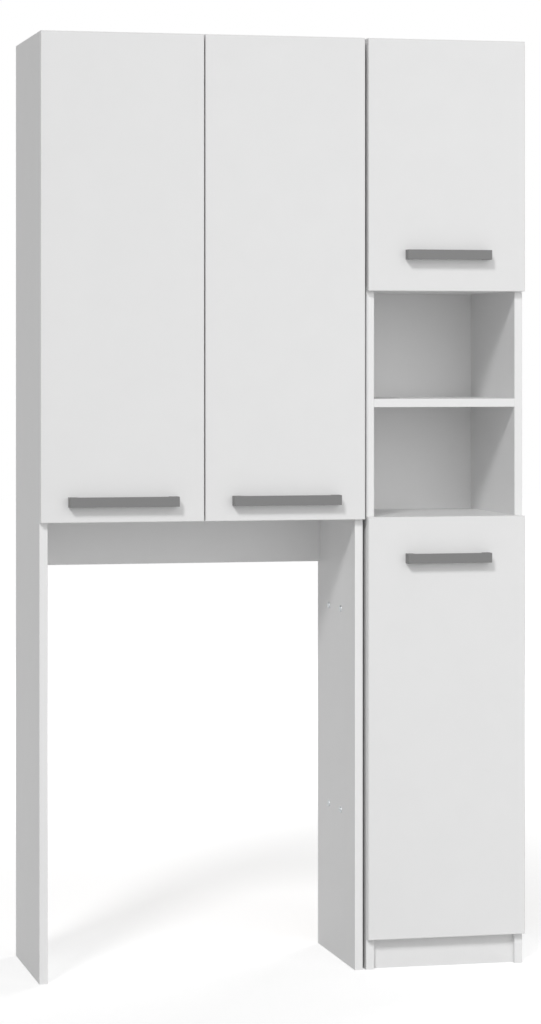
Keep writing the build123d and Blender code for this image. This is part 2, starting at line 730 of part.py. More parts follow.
cup_bottom_y = door_board - cup_depth
cup_inner = cup_radius - cup_wall
with BuildPart() as cup_shell:
    with BuildSketch(Plane.XZ.offset(-cup_bottom_y)):
        with Locations((cup_x, 0)):
            Circle(cup_radius)
    extrude(amount=-cup_depth)
    with BuildSketch(Plane.XZ.offset(-cup_bottom_y - cup_floor)):
        with Locations((cup_x, 0)):
            Circle(cup_inner)
    extrude(amount=-cup_depth, mode=Mode.SUBTRACT)
    # The stamped flange: a rim round the cup's mouth, open towards the
    # side board, and a wing above and below for its screws
    with BuildSketch(Plane.XZ.offset(-door_board)):
        with Locations((cup_x, 0)):
            Circle(cup_radius + flange_rim)
        with Locations((flange_left_x, 0)):
            Rectangle(cup_radius, 2 * cup_radius, align=(Align.MAX, Align.CENTER), mode=Mode.SUBTRACT)
        with Locations((ear_x, 0)):
            RectangleRounded(2 * ear_half_width, 2 * ear_outer_z, ear_half_width * ear_corner_share)
        with Locations((cup_x, 0)):
            Circle(cup_inner, mode=Mode.SUBTRACT)
    extrude(amount=-ear_sheet)
    with Locations(*[(ear_x, door_board, s * ear_screw_z) for s in (-1, 1)]):
        Cylinder(ear_screw_radius + plate_screw_room, 2 * door_board, rotation=along_y, mode=Mode.SUBTRACT)

with BuildPart() as lug_pair:
    with Locations(*[(0, cup_bottom_y, z) for z in cheek_heights]):
        Box(lug_right_x, lug_top_y - cup_bottom_y, lug_thickness, align=low)
    with BuildSketch(Plane.XZ.offset(-cup_bottom_y)):
        with Locations((cup_x, 0)):
            Circle(cup_radius)
    extrude(amount=-cup_depth, mode=Mode.INTERSECT)
    with Locations((door_pin_x, door_pin_y, 0)):
        Cylinder(hinge_pin_radius, 2 * lug_inner_z + 2 * lug_thickness)

with BuildPart() as cup_left:
    add(cup_shell.part)
    add(lug_pair.part)

with BuildPart() as cup_screw_left:
    shank_y = door_board + ear_sheet - ear_screw_depth / 2
    with Locations(*[(ear_x, shank_y, s * ear_screw_z) for s in (-1, 1)]):
        Cylinder(ear_screw_radius, ear_screw_depth, rotation=along_y)
    head_y = door_board + ear_sheet + ear_head_height / 2
    with Locations(*[(ear_x, head_y, s * ear_screw_z) for s in (-1, 1)]):
        Cylinder(ear_head_radius, ear_head_height, rotation=along_y)


def mirrored(master):
    """The same hinge piece for a door hinged at its right."""
    return mirror(master, about=Plane.YZ)


arm_right = mirrored(arm_left.part)
base_right = mirrored(base_left.part)
base_screw_right = mirrored(base_screw_left.part)
arm_screws_right = mirrored(arm_screws_left.part)
lever_right = mirrored(lever_left.part)
cup_right = mirrored(cup_left.part)
cup_screw_right = mirrored(cup_screw_left.part)


def place(left_master, left_spots, right_master, right_spots):
    if left_spots:
        with Locations(*left_spots):
            add(left_master)
    if right_spots:
        with Locations(*right_spots):
            add(right_master)


with BuildPart() as hinge_arms:
    place(arm_left.part, left_hinge_spots, arm_right, right_hinge_spots)

with BuildPart() as hinge_bases:
    place(base_left.part, left_hinge_spots, base_right, right_hinge_spots)

with BuildPart() as hinge_arm_screws:
    place(arm_screws_left.part, left_hinge_spots, arm_screws_right, right_hinge_spots)

with BuildPart() as hinge_base_screws:
    place(base_screw_left.part, left_hinge_spots, base_screw_right, right_hinge_spots)


# Doors, each with its cups, levers, handle, screws and pads

def door_panel(x0, width, z0, height):
    with BuildSketch(Plane.XZ.offset(-door_y0)) as face:
        with Locations((x0, z0)):
            Rectangle(width, height, align=flat_low)
    extrude(face.sketch, amount=-door_board)


def door_bores(x_edge, side, hinge_spots, handle_x, handle_z, handle_pitch):
    """Cup pockets, ear screw bores and the two handle screw holes."""
    with Locations(*[(x_edge + side * cup_x, door_y1, z) for _, _, z in hinge_spots]):
        Cylinder(cup_radius + cup_pocket_room, 2 * cup_depth, rotation=along_y, mode=Mode.SUBTRACT)
    bore_depth = ear_screw_depth - ear_sheet
    with Locations(*[(x_edge + side * ear_x, door_y1, z + s * ear_screw_z)
                     for _, _, z in hinge_spots for s in (-1, 1)]):
        Cylinder(ear_screw_radius + plate_screw_room, 2 * bore_depth, rotation=along_y, mode=Mode.SUBTRACT)
    with Locations(*[(handle_x + s * handle_pitch / 2, door_y1, handle_z) for s in (-1, 1)]):
        Cylinder(handle_screw_radius + handle_screw_room, 4 * door_board, rotation=along_y,
                 mode=Mode.SUBTRACT)


# Length, leg, inner round and screw pitch of the two handles
long_bar = (long_handle, long_handle_leg, long_handle_inner_round, long_handle_pitch)
short_bar = (short_handle, short_handle_leg, short_handle_inner_round, short_handle_pitch)


def bar_handle(x, z, sizes):
    """A bridge: a flat bar on two short legs with rounded inner corners."""
    length, leg, inner_round, pitch = sizes
    with BuildSketch(Plane.XY.offset(z - handle_height / 2)) as outline:
        with Locations((x, door_y0)):
            Rectangle(length, handle_reach, align=(Align.CENTER, Align.MAX))
    extrude(outline.sketch, amount=handle_height)
    with BuildSketch(Plane.XY.offset(z - handle_height / 2)) as opening:
        with Locations((x, door_y0)):
            Rectangle(length - 2 * leg, handle_reach - handle_bar, align=(Align.CENTER, Align.MAX))
        fillet(opening.vertices().group_by(Axis.Y)[0], radius=inner_round)
    extrude(opening.sketch, amount=handle_height, mode=Mode.SUBTRACT)
    with Locations(*[(x + s * pitch / 2, door_y0, z) for s in (-1, 1)]):
        Cylinder(handle_screw_radius + handle_screw_room, 2 * handle_thread_depth, rotation=along_y,
                 mode=Mode.SUBTRACT)


def soften_handle(part):
    """Slightly broken edges round the bar's front face."""
    fillet(part.faces().sort_by(Axis.Y)[0].edges(), radius=handle_edge_round)


def screws_of_handle(x, z, pitch):
    shank = door_board + handle_thread_depth
    with Locations(*[(x + s * pitch / 2, door_y1 - shank / 2, z) for s in (-1, 1)]):
        Cylinder(handle_screw_radius, shank, rotation=along_y)
    with Locations(*[(x + s * pitch / 2, door_y1 + handle_head_height / 2, z) for s in (-1, 1)]):
        Cylinder(handle_head_radius, handle_head_height, rotation=along_y)


def pads(x_free_edge, side, z0, height):
    with Locations(*[(x_free_edge + side * pad_side_inset, door_y1 + door_gap / 2, z)
                     for z in (z0 + pad_end_inset, z0 + height - pad_end_inset)]):
        Cylinder(pad_radius, door_gap, rotation=along_y)


def soften_pads(part):
    """A rounded rim on the face that meets the side board."""
    fillet(part.edges().group_by(Axis.Y)[-1], radius=pad_round)


def soften(part):
    """Soft edge banding round the door's front face."""
    fillet(part.faces().sort_by(Axis.Y)[0].edges(), radius=edge_round)


wide_left_x1 = bay_x0 + wide_door_width
wide_right_x0 = bay_x1 - wide_door_width
col_mid = (col_x0 + col_x1) / 2
wide_left_mid = bay_x0 + wide_door_width / 2
wide_right_mid = bay_x1 - wide_door_width / 2
wide_handle_z = wide_door_z0 + wide_handle_rise
top_handle_z = top_door_z0 + top_handle_rise
tall_handle_z = tall_door_z0 + tall_door_height - tall_handle_drop

with BuildPart() as wide_door_left:
    door_panel(bay_x0, wide_door_width, wide_door_z0, wide_door_height)
    soften(wide_door_left)
    door_bores(bay_x0, 1, left_hinge_spots, wide_left_mid, wide_handle_z, long_handle_pitch)
with BuildPart() as wide_handle_left:
    bar_handle(wide_left_mid, wide_handle_z, long_bar)
    soften_handle(wide_handle_left)
with BuildPart() as wide_handle_screws_left:
    screws_of_handle(wide_left_mid, wide_handle_z, long_handle_pitch)
with BuildPart() as wide_cups_left:
    place(cup_left.part, left_hinge_spots, cup_right, [])
with BuildPart() as wide_cup_screws_left:
    place(cup_screw_left.part, left_hinge_spots, cup_screw_right, [])
with BuildPart() as wide_levers_left:
    place(lever_left.part, left_hinge_spots, lever_right, [])
with BuildPart() as wide_pads_left:
    pads(wide_left_x1, -1, wide_door_z0, wide_door_height)
    soften_pads(wide_pads_left)

with BuildPart() as wide_door_right:
    door_panel(wide_right_x0, wide_door_width, wide_door_z0, wide_door_height)
    soften(wide_door_right)
    door_bores(bay_x1, -1, bay_right_hinge_spots, wide_right_mid, wide_handle_z, long_handle_pitch)
with BuildPart() as wide_handle_right:
    bar_handle(wide_right_mid, wide_handle_z, long_bar)
    soften_handle(wide_handle_right)
with BuildPart() as wide_handle_screws_right:
    screws_of_handle(wide_right_mid, wide_handle_z, long_handle_pitch)
with BuildPart() as wide_cups_right:
    place(cup_left.part, [], cup_right, bay_right_hinge_spots)
with BuildPart() as wide_cup_screws_right:
    place(cup_screw_left.part, [], cup_screw_right, bay_right_hinge_spots)
with BuildPart() as wide_levers_right:
    place(lever_left.part, [], lever_right, bay_right_hinge_spots)
with BuildPart() as wide_pads_right:
    pads(wide_right_x0, 1, wide_door_z0, wide_door_height)
    soften_pads(wide_pads_right)

with BuildPart() as top_door:
    door_panel(col_x0, column_width, top_door_z0, top_door_height)
    soften(top_door)
    door_bores(col_x1, -1, top_hinge_spots, col_mid, top_handle_z, short_handle_pitch)
with BuildPart() as top_handle:
    bar_handle(col_mid, top_handle_z, short_bar)
    soften_handle(top_handle)
with BuildPart() as top_handle_screws:
    screws_of_handle(col_mid, top_handle_z, short_handle_pitch)
with BuildPart() as top_cups:
    place(cup_left.part, [], cup_right, top_hinge_spots)
with BuildPart() as top_cup_screws:
    place(cup_screw_left.part, [], cup_screw_right, top_hinge_spots)
with BuildPart() as top_levers:
    place(lever_left.part, [], lever_right, top_hinge_spots)
with BuildPart() as top_pads:
    pads(col_x0, 1, top_door_z0, top_door_height)
    soften_pads(top_pads)

with BuildPart() as tall_door:
    door_panel(col_x0, column_width, tall_door_z0, tall_door_height)
    soften(tall_door)
    door_bores(col_x1, -1, tall_hinge_spots, col_mid, tall_handle_z, short_handle_pitch)
with BuildPart() as tall_handle:
    bar_handle(col_mid, tall_handle_z, short_bar)
    soften_handle(tall_handle)
with BuildPart() as tall_handle_screws:
    screws_of_handle(col_mid, tall_handle_z, short_handle_pitch)
with BuildPart() as tall_cups:
    place(cup_left.part, [], cup_right, tall_hinge_spots)
with BuildPart() as tall_cup_screws:
    place(cup_screw_left.part, [], cup_screw_right, tall_hinge_spots)
with BuildPart() as tall_levers:
    place(lever_left.part, [], lever_right, tall_hinge_spots)
with BuildPart() as tall_pads:
    pads(col_x0, 1, tall_door_z0, tall_door_height)
    soften_pads(tall_pads)


# Labels and files

bay_side_left.part.label = "bay_side_left"
export_step(bay_side_left.part, "parts/bay_side_left.step")
bay_side_right.part.label = "bay_side_right"
export_step(bay_side_right.part, "parts/bay_side_right.step")
bay_unit_top.part.label = "bay_unit_top"
export_step(bay_unit_top.part, "parts/bay_unit_top.step")
cupboard_floor.part.label = "cupboard_floor"
export_step(cupboard_floor.part, "parts/cupboard_floor.step")
cupboard_shelf_low.part.label = "cupboard_shelf_low"
export_step(cupboard_shelf_low.part, "parts/cupboard_shelf_low.step")
cupboard_shelf_high.part.label = "cupboard_shelf_high"
export_step(cupboard_shelf_high.part, "parts/cupboard_shelf_high.step")
cupboard_back.part.label = "cupboard_back"
export_step(cupboard_back.part, "parts/cupboard_back.step")
rear_rail.part.label = "rear_rail"
export_step(rear_rail.part, "parts/rear_rail.step")
column_side_left.part.label = "column_side_left"
export_step(column_side_left.part, "parts/column_side_left.step")
column_side_right.part.label = "column_side_right"
export_step(column_side_right.part, "parts/column_side_right.step")
column_top.part.label = "column_top"
export_step(column_top.part, "parts/column_top.step")
niche_ceiling.part.label = "niche_ceiling"
export_step(niche_ceiling.part, "parts/niche_ceiling.step")
niche_shelf.part.label = "niche_shelf"
export_step(niche_shelf.part, "parts/niche_shelf.step")
niche_floor.part.label = "niche_floor"
export_step(niche_floor.part, "parts/niche_floor.step")
column_bottom.part.label = "column_bottom"
export_step(column_bottom.part, "parts/column_bottom.step")
column_shelf_top.part.label = "column_shelf_top"
export_step(column_shelf_top.part, "parts/column_shelf_top.step")
column_shelf_low.part.label = "column_shelf_low"
export_step(column_shelf_low.part, "parts/column_shelf_low.step")
column_shelf_mid.part.label = "column_shelf_mid"
export_step(column_shelf_mid.part, "parts/column_shelf_mid.step")
plinth.part.label = "plinth"
export_step(plinth.part, "parts/plinth.step")
column_back.part.label = "column_back"
export_step(column_back.part, "parts/column_back.step")
shelf_pins.part.label = "shelf_pins"
export_step(shelf_pins.part, "parts/shelf_pins.step")
cams.part.label = "cams"
export_step(cams.part, "parts/cams.step")
cam_bolts.part.label = "cam_bolts"
export_step(cam_bolts.part, "parts/cam_bolts.step")
dowels.part.label = "dowels"
export_step(dowels.part, "parts/dowels.step")
unit_spacers.part.label = "unit_spacers"
export_step(unit_spacers.part, "parts/unit_spacers.step")
unit_bolts.part.label = "unit_bolts"
export_step(unit_bolts.part, "parts/unit_bolts.step")
wall_brackets.part.label = "wall_brackets"
export_step(wall_brackets.part, "parts/wall_brackets.step")
bracket_screws.part.label = "bracket_screws"
export_step(bracket_screws.part, "parts/bracket_screws.step")
hinge_arms.part.label = "hinge_arms"
export_step(hinge_arms.part, "parts/hinge_arms.step")
hinge_arm_screws.part.label = "hinge_arm_screws"
export_step(hinge_arm_screws.part, "parts/hinge_arm_screws.step")
hinge_bases.part.label = "hinge_bases"
export_step(hinge_bases.part, "parts/hinge_bases.step")
hinge_base_screws.part.label = "hinge_base_screws"
export_step(hinge_base_screws.part, "parts/hinge_base_screws.step")
wide_door_left.part.label = "wide_door_left"
export_step(wide_door_left.part, "parts/wide_door_left.step")
wide_handle_left.part.label = "wide_handle_left"
export_step(wide_handle_left.part, "parts/wide_handle_left.step")
wide_handle_screws_left.part.label = "wide_handle_screws_left"
export_step(wide_handle_screws_left.part, "parts/wide_handle_screws_left.step")
wide_cups_left.part.label = "wide_cups_left"
export_step(wide_cups_left.part, "parts/wide_cups_left.step")
wide_cup_screws_left.part.label = "wide_cup_screws_left"
export_step(wide_cup_screws_left.part, "parts/wide_cup_screws_left.step")
wide_levers_left.part.label = "wide_levers_left"
export_step(wide_levers_left.part, "parts/wide_levers_left.step")
wide_pads_left.part.label = "wide_pads_left"
export_step(wide_pads_left.part, "parts/wide_pads_left.step")
wide_door_right.part.label = "wide_door_right"
export_step(wide_door_right.part, "parts/wide_door_right.step")
wide_handle_right.part.label = "wide_handle_right"
export_step(wide_handle_right.part, "parts/wide_handle_right.step")
wide_handle_screws_right.part.label = "wide_handle_screws_right"
export_step(wide_handle_screws_right.part, "parts/wide_handle_screws_right.step")
wide_cups_right.part.label = "wide_cups_right"
export_step(wide_cups_right.part, "parts/wide_cups_right.step")
wide_cup_screws_right.part.label = "wide_cup_screws_right"
export_step(wide_cup_screws_right.part, "parts/wide_cup_screws_right.step")
wide_levers_right.part.label = "wide_levers_right"
export_step(wide_levers_right.part, "parts/wide_levers_right.step")
wide_pads_right.part.label = "wide_pads_right"
export_step(wide_pads_right.part, "parts/wide_pads_right.step")
top_door.part.label = "top_door"
export_step(top_door.part, "parts/top_door.step")
top_handle.part.label = "top_handle"
export_step(top_handle.part, "parts/top_handle.step")
top_handle_screws.part.label = "top_handle_screws"
export_step(top_handle_screws.part, "parts/top_handle_screws.step")
top_cups.part.label = "top_cups"
export_step(top_cups.part, "parts/top_cups.step")
top_cup_screws.part.label = "top_cup_screws"
export_step(top_cup_screws.part, "parts/top_cup_screws.step")
top_levers.part.label = "top_levers"
export_step(top_levers.part, "parts/top_levers.step")
top_pads.part.label = "top_pads"
export_step(top_pads.part, "parts/top_pads.step")
tall_door.part.label = "tall_door"
export_step(tall_door.part, "parts/tall_door.step")
tall_handle.part.label = "tall_handle"
export_step(tall_handle.part, "parts/tall_handle.step")
tall_handle_screws.part.label = "tall_handle_screws"
export_step(tall_handle_screws.part, "parts/tall_handle_screws.step")
tall_cups.part.label = "tall_cups"
export_step(tall_cups.part, "parts/tall_cups.step")
tall_cup_screws.part.label = "tall_cup_screws"
export_step(tall_cup_screws.part, "parts/tall_cup_screws.step")
tall_levers.part.label = "tall_levers"
export_step(tall_levers.part, "parts/tall_levers.step")
tall_pads.part.label = "tall_pads"
export_step(tall_pads.part, "parts/tall_pads.step")
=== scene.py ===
# %% [markdown]
# # A white bathroom cabinet
#
# Two flat-pack units stand side by side: a wide one with a cupboard over an
# open bay, and a narrow column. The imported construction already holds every
# board, door, handle and hinge at its real size, so this lesson does two
# things: it gives each surface the finish of the real material, and it models
# the small fittings that a drawing shows as plain pegs and discs.

# %% The frame
import json
import math
import random

import bmesh
import bpy
from mathutils import Matrix, Vector

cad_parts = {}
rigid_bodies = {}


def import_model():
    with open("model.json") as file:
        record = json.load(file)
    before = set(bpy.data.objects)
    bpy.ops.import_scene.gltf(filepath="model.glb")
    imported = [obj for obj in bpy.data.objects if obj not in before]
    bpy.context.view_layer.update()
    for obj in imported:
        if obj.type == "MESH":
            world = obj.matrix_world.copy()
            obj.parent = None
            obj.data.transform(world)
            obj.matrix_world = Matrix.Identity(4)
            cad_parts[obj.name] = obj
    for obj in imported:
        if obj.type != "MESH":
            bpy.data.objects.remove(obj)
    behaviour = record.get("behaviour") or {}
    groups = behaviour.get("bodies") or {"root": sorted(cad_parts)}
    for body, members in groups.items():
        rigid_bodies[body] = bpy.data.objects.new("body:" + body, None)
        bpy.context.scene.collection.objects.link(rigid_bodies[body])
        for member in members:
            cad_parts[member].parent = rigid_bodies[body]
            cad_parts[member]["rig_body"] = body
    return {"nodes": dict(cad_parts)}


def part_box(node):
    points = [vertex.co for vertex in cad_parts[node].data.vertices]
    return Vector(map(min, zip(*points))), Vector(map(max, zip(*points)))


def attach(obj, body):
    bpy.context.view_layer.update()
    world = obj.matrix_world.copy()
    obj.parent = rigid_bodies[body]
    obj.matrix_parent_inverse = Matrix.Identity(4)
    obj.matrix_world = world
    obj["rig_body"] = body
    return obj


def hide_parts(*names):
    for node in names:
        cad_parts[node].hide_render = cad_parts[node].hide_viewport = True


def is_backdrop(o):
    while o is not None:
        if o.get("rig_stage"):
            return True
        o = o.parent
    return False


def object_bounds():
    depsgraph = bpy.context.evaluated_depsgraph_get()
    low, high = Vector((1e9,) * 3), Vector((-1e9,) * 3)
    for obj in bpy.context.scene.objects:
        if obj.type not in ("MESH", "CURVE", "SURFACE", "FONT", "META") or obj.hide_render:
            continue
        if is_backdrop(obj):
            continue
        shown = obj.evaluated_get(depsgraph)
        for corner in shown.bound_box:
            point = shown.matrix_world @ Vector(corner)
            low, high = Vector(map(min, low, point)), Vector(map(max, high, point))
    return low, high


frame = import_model()
cad_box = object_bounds()
nodes = frame["nodes"]
scene = bpy.context.scene
scene.view_settings.view_transform = "Standard"
MM = 0.001
QUARTER_TURN = math.radians(90)
X_AXIS, Y_AXIS, Z_AXIS = range(3)
print("nodes in the frame:", len(nodes))

# %% [markdown]
# ## The camera
#
# The picture was taken level, from the left and a little under shoulder
# height, with a long lens. A level camera with a vertical shift keeps the
# upright edges upright, as in furniture catalogues. Tilting it down instead
# would make the sides lean together.

# %% Camera
CAMERA_PLACE = Vector((-1.42695, -6.07493, 1.19826))
CAMERA_YAW = math.radians(-12.985)
CAMERA_LENS = 110.33
CAMERA_SHIFT = (0.01303, -0.14984)
SENSOR_WIDTH = 36.0

camera_data = bpy.data.cameras.new("camera")
camera_data.lens = CAMERA_LENS
camera_data.sensor_width = SENSOR_WIDTH
camera_data.shift_x, camera_data.shift_y = CAMERA_SHIFT
camera = bpy.data.objects.new("camera", camera_data)
camera.location = CAMERA_PLACE
camera.rotation_euler = (QUARTER_TURN, 0, CAMERA_YAW)
scene.collection.objects.link(camera)
scene.camera = camera
print("camera", CAMERA_LENS, "mm, at height", round(CAMERA_PLACE.z, 2))

# %% [markdown]
# ## Nodes and colours
#
# Every finish below is a small node tree. It could be drawn in the shader
# editor, but written out it can be read and repeated. One function adds a
# node, sets its values and joins its inputs, so that a tree reads from top to
# bottom. Colours are written as they look on a screen and turned to linear
# light, and patterns are given their real size in millimetres.


# %% Helpers for finishes
def linear(hex_colour):
    """A screen colour such as #eeeeee as linear red, green, blue and alpha, by the sRGB curve."""
    channels = [int(hex_colour[i:i + 2], 16) / 255 for i in (1, 3, 5)]
    return [c / 12.92 if c <= 0.04045 else ((c + 0.055) / 1.055) ** 2.4 for c in channels] + [1.0]


WHITE = linear("#ffffff")


def per_metre(size_mm):
    """How often a pattern of this size repeats along a metre."""
    return 1000.0 / size_mm


def add_node(tree, kind, inputs=None, **settings):
    """Adds a node with its settings; an input is a value, or a socket to join."""
    node = tree.nodes.new(kind)
    for name, value in settings.items():
        setattr(node, name, value)
    for name, value in (inputs or {}).items():
        if isinstance(value, bpy.types.NodeSocket):
            tree.links.new(value, node.inputs[name])
        else:
            node.inputs[name].default_value = value
    return node


def new_finish(name, **values):
    """A material with one Principled shader, whose plain values are set on it."""
    finish = bpy.data.materials.new(name)
    finish.use_nodes = True
    shader = finish.node_tree.nodes["Principled BSDF"]
    for socket, value in values.items():
        shader.inputs[socket.replace("_", " ")].default_value = value
    return finish, finish.node_tree, shader


def feed(tree, shader, **sources):
    """Joins each source to the shader's socket of that name."""
    for socket, source in sources.items():
        tree.links.new(source, shader.inputs[socket.replace("_", " ")])


def set_ramp(ramp, stops):
    """Gives a colour ramp its stops, as (place, colour) pairs."""
    elements = ramp.color_ramp.elements
    # A new stop may start anywhere, because its place is set below
    while len(elements) < len(stops):
        elements.new(0.5)
    for element, (place, colour) in zip(elements, stops):
        element.position = place
        element.color = linear(colour)


print("a grain of 2 mm repeats", per_metre(2), "times a metre")

# %% [markdown]
# ## Melamine-faced board
#
# The boards are chipboard under a thin white melamine paper, pressed against
# a steel plate with a fine pearl grain. It gives a clean neutral white with a
# soft sheen that breaks up a little when the light grazes it. The grain is
# finer than a millimetre on the real board. It is drawn about three times as
# coarse here, because the real one would vanish between two pixels.
#
# The front edges carry a glued plastic band. Its joint is a hairline one
# millimetre behind the edge. The rear and foot edges are left raw, so there
# the chips show: flakes of two sizes, from tan to brown. One finish does all
# of this by where a point lies and which way it faces, so that the boards need
# no separate strips.

# %% Sizes and colours that the board finishes share
BAND_MM = 1.0
BAND_JOINT_MM = 0.25
PEARL_GRAIN_MM = 2.4
PEARL_DEPTH_MM = 0.15
PEARL_STRENGTH = 0.12
UNEVEN_MM = 60.0
CHIP_MM = 2.2
FINE_CHIP_MM = 0.9
CHIP_STOPS = ((0.02, "#6f5233"), (0.18, "#a5824f"), (0.4, "#c7a672"), (0.62, "#dcc396"))
WHITE_MELAMINE = "#eeeeee"
WHITE_MELAMINE_SHADE = "#ebebeb"
WHITE_BAND = "#f1f1f1"
BAND_JOINT = "#c4c3c0"
BOARD_ROUGHNESS = 0.5
BOARD_GLOSS = 0.2
CHIP_ROUGHNESS = 0.95
RAW_EDGE_MM = 0.5
FACES_THAT_WAY = 0.7

side_low, side_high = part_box("bay_side_left")
FRONT_PLANE = side_low.y
REAR_PLANE = side_high.y
print("carcass from", round(FRONT_PLANE, 4), "to", round(REAR_PLANE, 4))


# %% Parts of the board finish
def pearl_colour(tree, place):
    """White with a hint of unevenness, as pressed melamine paper has."""
    clouds = add_node(tree, "ShaderNodeTexNoise", {
        "Vector": place, "Scale": per_metre(UNEVEN_MM), "Detail": 3.0,
    })
    return add_node(tree, "ShaderNodeMix", {
        "Factor": clouds.outputs["Fac"], "A": linear(WHITE_MELAMINE), "B": linear(WHITE_MELAMINE_SHADE),
    }, data_type="RGBA").outputs["Result"]


def pearl_bump(tree, place):
    """The fine pearl grain of the press plate, as a normal."""
    grain = add_node(tree, "ShaderNodeTexNoise", {
        "Vector": place, "Scale": per_metre(PEARL_GRAIN_MM), "Detail": 2.0, "Roughness": 0.6,
    })
    return add_node(tree, "ShaderNodeBump", {
        "Height": grain.outputs["Fac"], "Strength": PEARL_STRENGTH, "Distance": PEARL_DEPTH_MM * MM,
    }).outputs["Normal"]


def chip_colour(tree, place):
    """Raw chipboard: flakes of two sizes in tan and brown."""
    flakes = add_node(tree, "ShaderNodeTexVoronoi", {"Vector": place, "Scale": per_metre(CHIP_MM)})
    dust = add_node(tree, "ShaderNodeTexNoise", {
        "Vector": place, "Scale": per_metre(FINE_CHIP_MM), "Detail": 4.0,
    })
    shade = add_node(tree, "ShaderNodeSeparateColor", {"Color": flakes.outputs["Color"]})
    mixed = add_node(tree, "ShaderNodeMath", {
        0: shade.outputs[0], 1: dust.outputs["Fac"],
    }, operation="MULTIPLY")
    ramp = add_node(tree, "ShaderNodeValToRGB", {"Fac": mixed.outputs[0]})
    set_ramp(ramp, CHIP_STOPS)
    return ramp.outputs["Color"]


def banded(tree, inset, face_colour):
    """The edge band, the hairline of its joint, and the board's face behind them."""
    behind_band = add_node(tree, "ShaderNodeMath", {0: inset, 1: BAND_MM * MM}, operation="GREATER_THAN")
    behind_joint = add_node(tree, "ShaderNodeMath", {
        0: inset, 1: (BAND_MM + BAND_JOINT_MM) * MM,
    }, operation="GREATER_THAN")
    band = add_node(tree, "ShaderNodeMix", {
        "Factor": behind_band.outputs[0], "A": linear(WHITE_BAND), "B": linear(BAND_JOINT),
    }, data_type="RGBA")
    return add_node(tree, "ShaderNodeMix", {
        "Factor": behind_joint.outputs[0], "A": band.outputs["Result"], "B": face_colour,
    }, data_type="RGBA").outputs["Result"]


print("chips from", CHIP_STOPS[0][1], "to", CHIP_STOPS[-1][1], "and a band of", BAND_MM, "mm")

# %% Carcass board
def carcass_board_finish():
    """White board with a banded front edge and raw edges at the rear and the feet."""
    finish, tree, shader = new_finish("melamine_faced_chipboard", IOR=1.5, Specular_IOR_Level=BOARD_GLOSS)
    source = add_node(tree, "ShaderNodeTexCoord")
    place = source.outputs["Object"]
    spot = add_node(tree, "ShaderNodeSeparateXYZ", {0: place})
    facing = add_node(tree, "ShaderNodeSeparateXYZ", {0: source.outputs["Normal"]})

    # The band covers the front edge; its joint is a hairline behind it
    inset = add_node(tree, "ShaderNodeMath", {0: spot.outputs["Y"], 1: FRONT_PLANE}, operation="SUBTRACT")
    finished = banded(tree, inset.outputs[0], pearl_colour(tree, place))

    # Raw edges at the rear and under the feet
    looks_back = add_node(tree, "ShaderNodeMath", {0: facing.outputs["Y"], 1: FACES_THAT_WAY},
                          operation="GREATER_THAN")
    at_rear = add_node(tree, "ShaderNodeMath", {0: spot.outputs["Y"], 1: REAR_PLANE - RAW_EDGE_MM * MM},
                       operation="GREATER_THAN")
    rear_edge = add_node(tree, "ShaderNodeMath", {0: looks_back.outputs[0], 1: at_rear.outputs[0]},
                         operation="MULTIPLY")
    looks_down = add_node(tree, "ShaderNodeMath", {0: facing.outputs["Z"], 1: -FACES_THAT_WAY},
                          operation="LESS_THAN")
    at_floor = add_node(tree, "ShaderNodeMath", {0: spot.outputs["Z"], 1: RAW_EDGE_MM * MM},
                        operation="LESS_THAN")
    foot_edge = add_node(tree, "ShaderNodeMath", {0: looks_down.outputs[0], 1: at_floor.outputs[0]},
                         operation="MULTIPLY")
    raw = add_node(tree, "ShaderNodeMath", {0: rear_edge.outputs[0], 1: foot_edge.outputs[0]},
                   operation="MAXIMUM").outputs[0]
    colour = add_node(tree, "ShaderNodeMix", {
        "Factor": raw, "A": finished, "B": chip_colour(tree, place),
    }, data_type="RGBA")

    roughness = add_node(tree, "ShaderNodeMapRange", {
        "Value": raw, "To Min": BOARD_ROUGHNESS, "To Max": CHIP_ROUGHNESS,
    })
    feed(tree, shader, Base_Color=colour.outputs["Result"], Roughness=roughness.outputs["Result"],
         Normal=pearl_bump(tree, place))
    return finish


MELAMINE = carcass_board_finish()
print(MELAMINE.name, "has", len(MELAMINE.node_tree.nodes), "nodes")

# %% [markdown]
# A door is the same board, but all four of its edges are banded. So its joint
# hairline runs round the whole face, one millimetre in. Each door gets its own
# copy of the finish, because the hairline follows that door's outline.

# %% Door board
DOORS = ("wide_door_left", "wide_door_right", "top_door", "tall_door")


def door_board_finish(node):
    """White board whose band and hairline follow one door's outline."""
    low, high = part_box(node)
    finish, tree, shader = new_finish("melamine_" + node, IOR=1.5, Specular_IOR_Level=BOARD_GLOSS,
                                      Roughness=BOARD_ROUGHNESS)
    place = add_node(tree, "ShaderNodeTexCoord").outputs["Object"]
    spot = add_node(tree, "ShaderNodeSeparateXYZ", {0: place})

    # How far a point lies inside the outline, by the nearer of the edges
    insets = []
    for axis, name in ((X_AXIS, "X"), (Z_AXIS, "Z")):
        middle = (low[axis] + high[axis]) / 2
        half = (high[axis] - low[axis]) / 2
        off = add_node(tree, "ShaderNodeMath", {0: spot.outputs[name], 1: middle}, operation="SUBTRACT")
        out = add_node(tree, "ShaderNodeMath", {0: off.outputs[0]}, operation="ABSOLUTE")
        insets.append(add_node(tree, "ShaderNodeMath", {0: half, 1: out.outputs[0]},
                               operation="SUBTRACT").outputs[0])
    inset = add_node(tree, "ShaderNodeMath", {0: insets[0], 1: insets[1]}, operation="MINIMUM").outputs[0]
    feed(tree, shader, Base_Color=banded(tree, inset, pearl_colour(tree, place)),
         Normal=pearl_bump(tree, place))
    return finish


door_finishes = {name: door_board_finish(name) for name in DOORS}
print("door finishes:", ", ".join(finish.name for finish in door_finishes.values()))

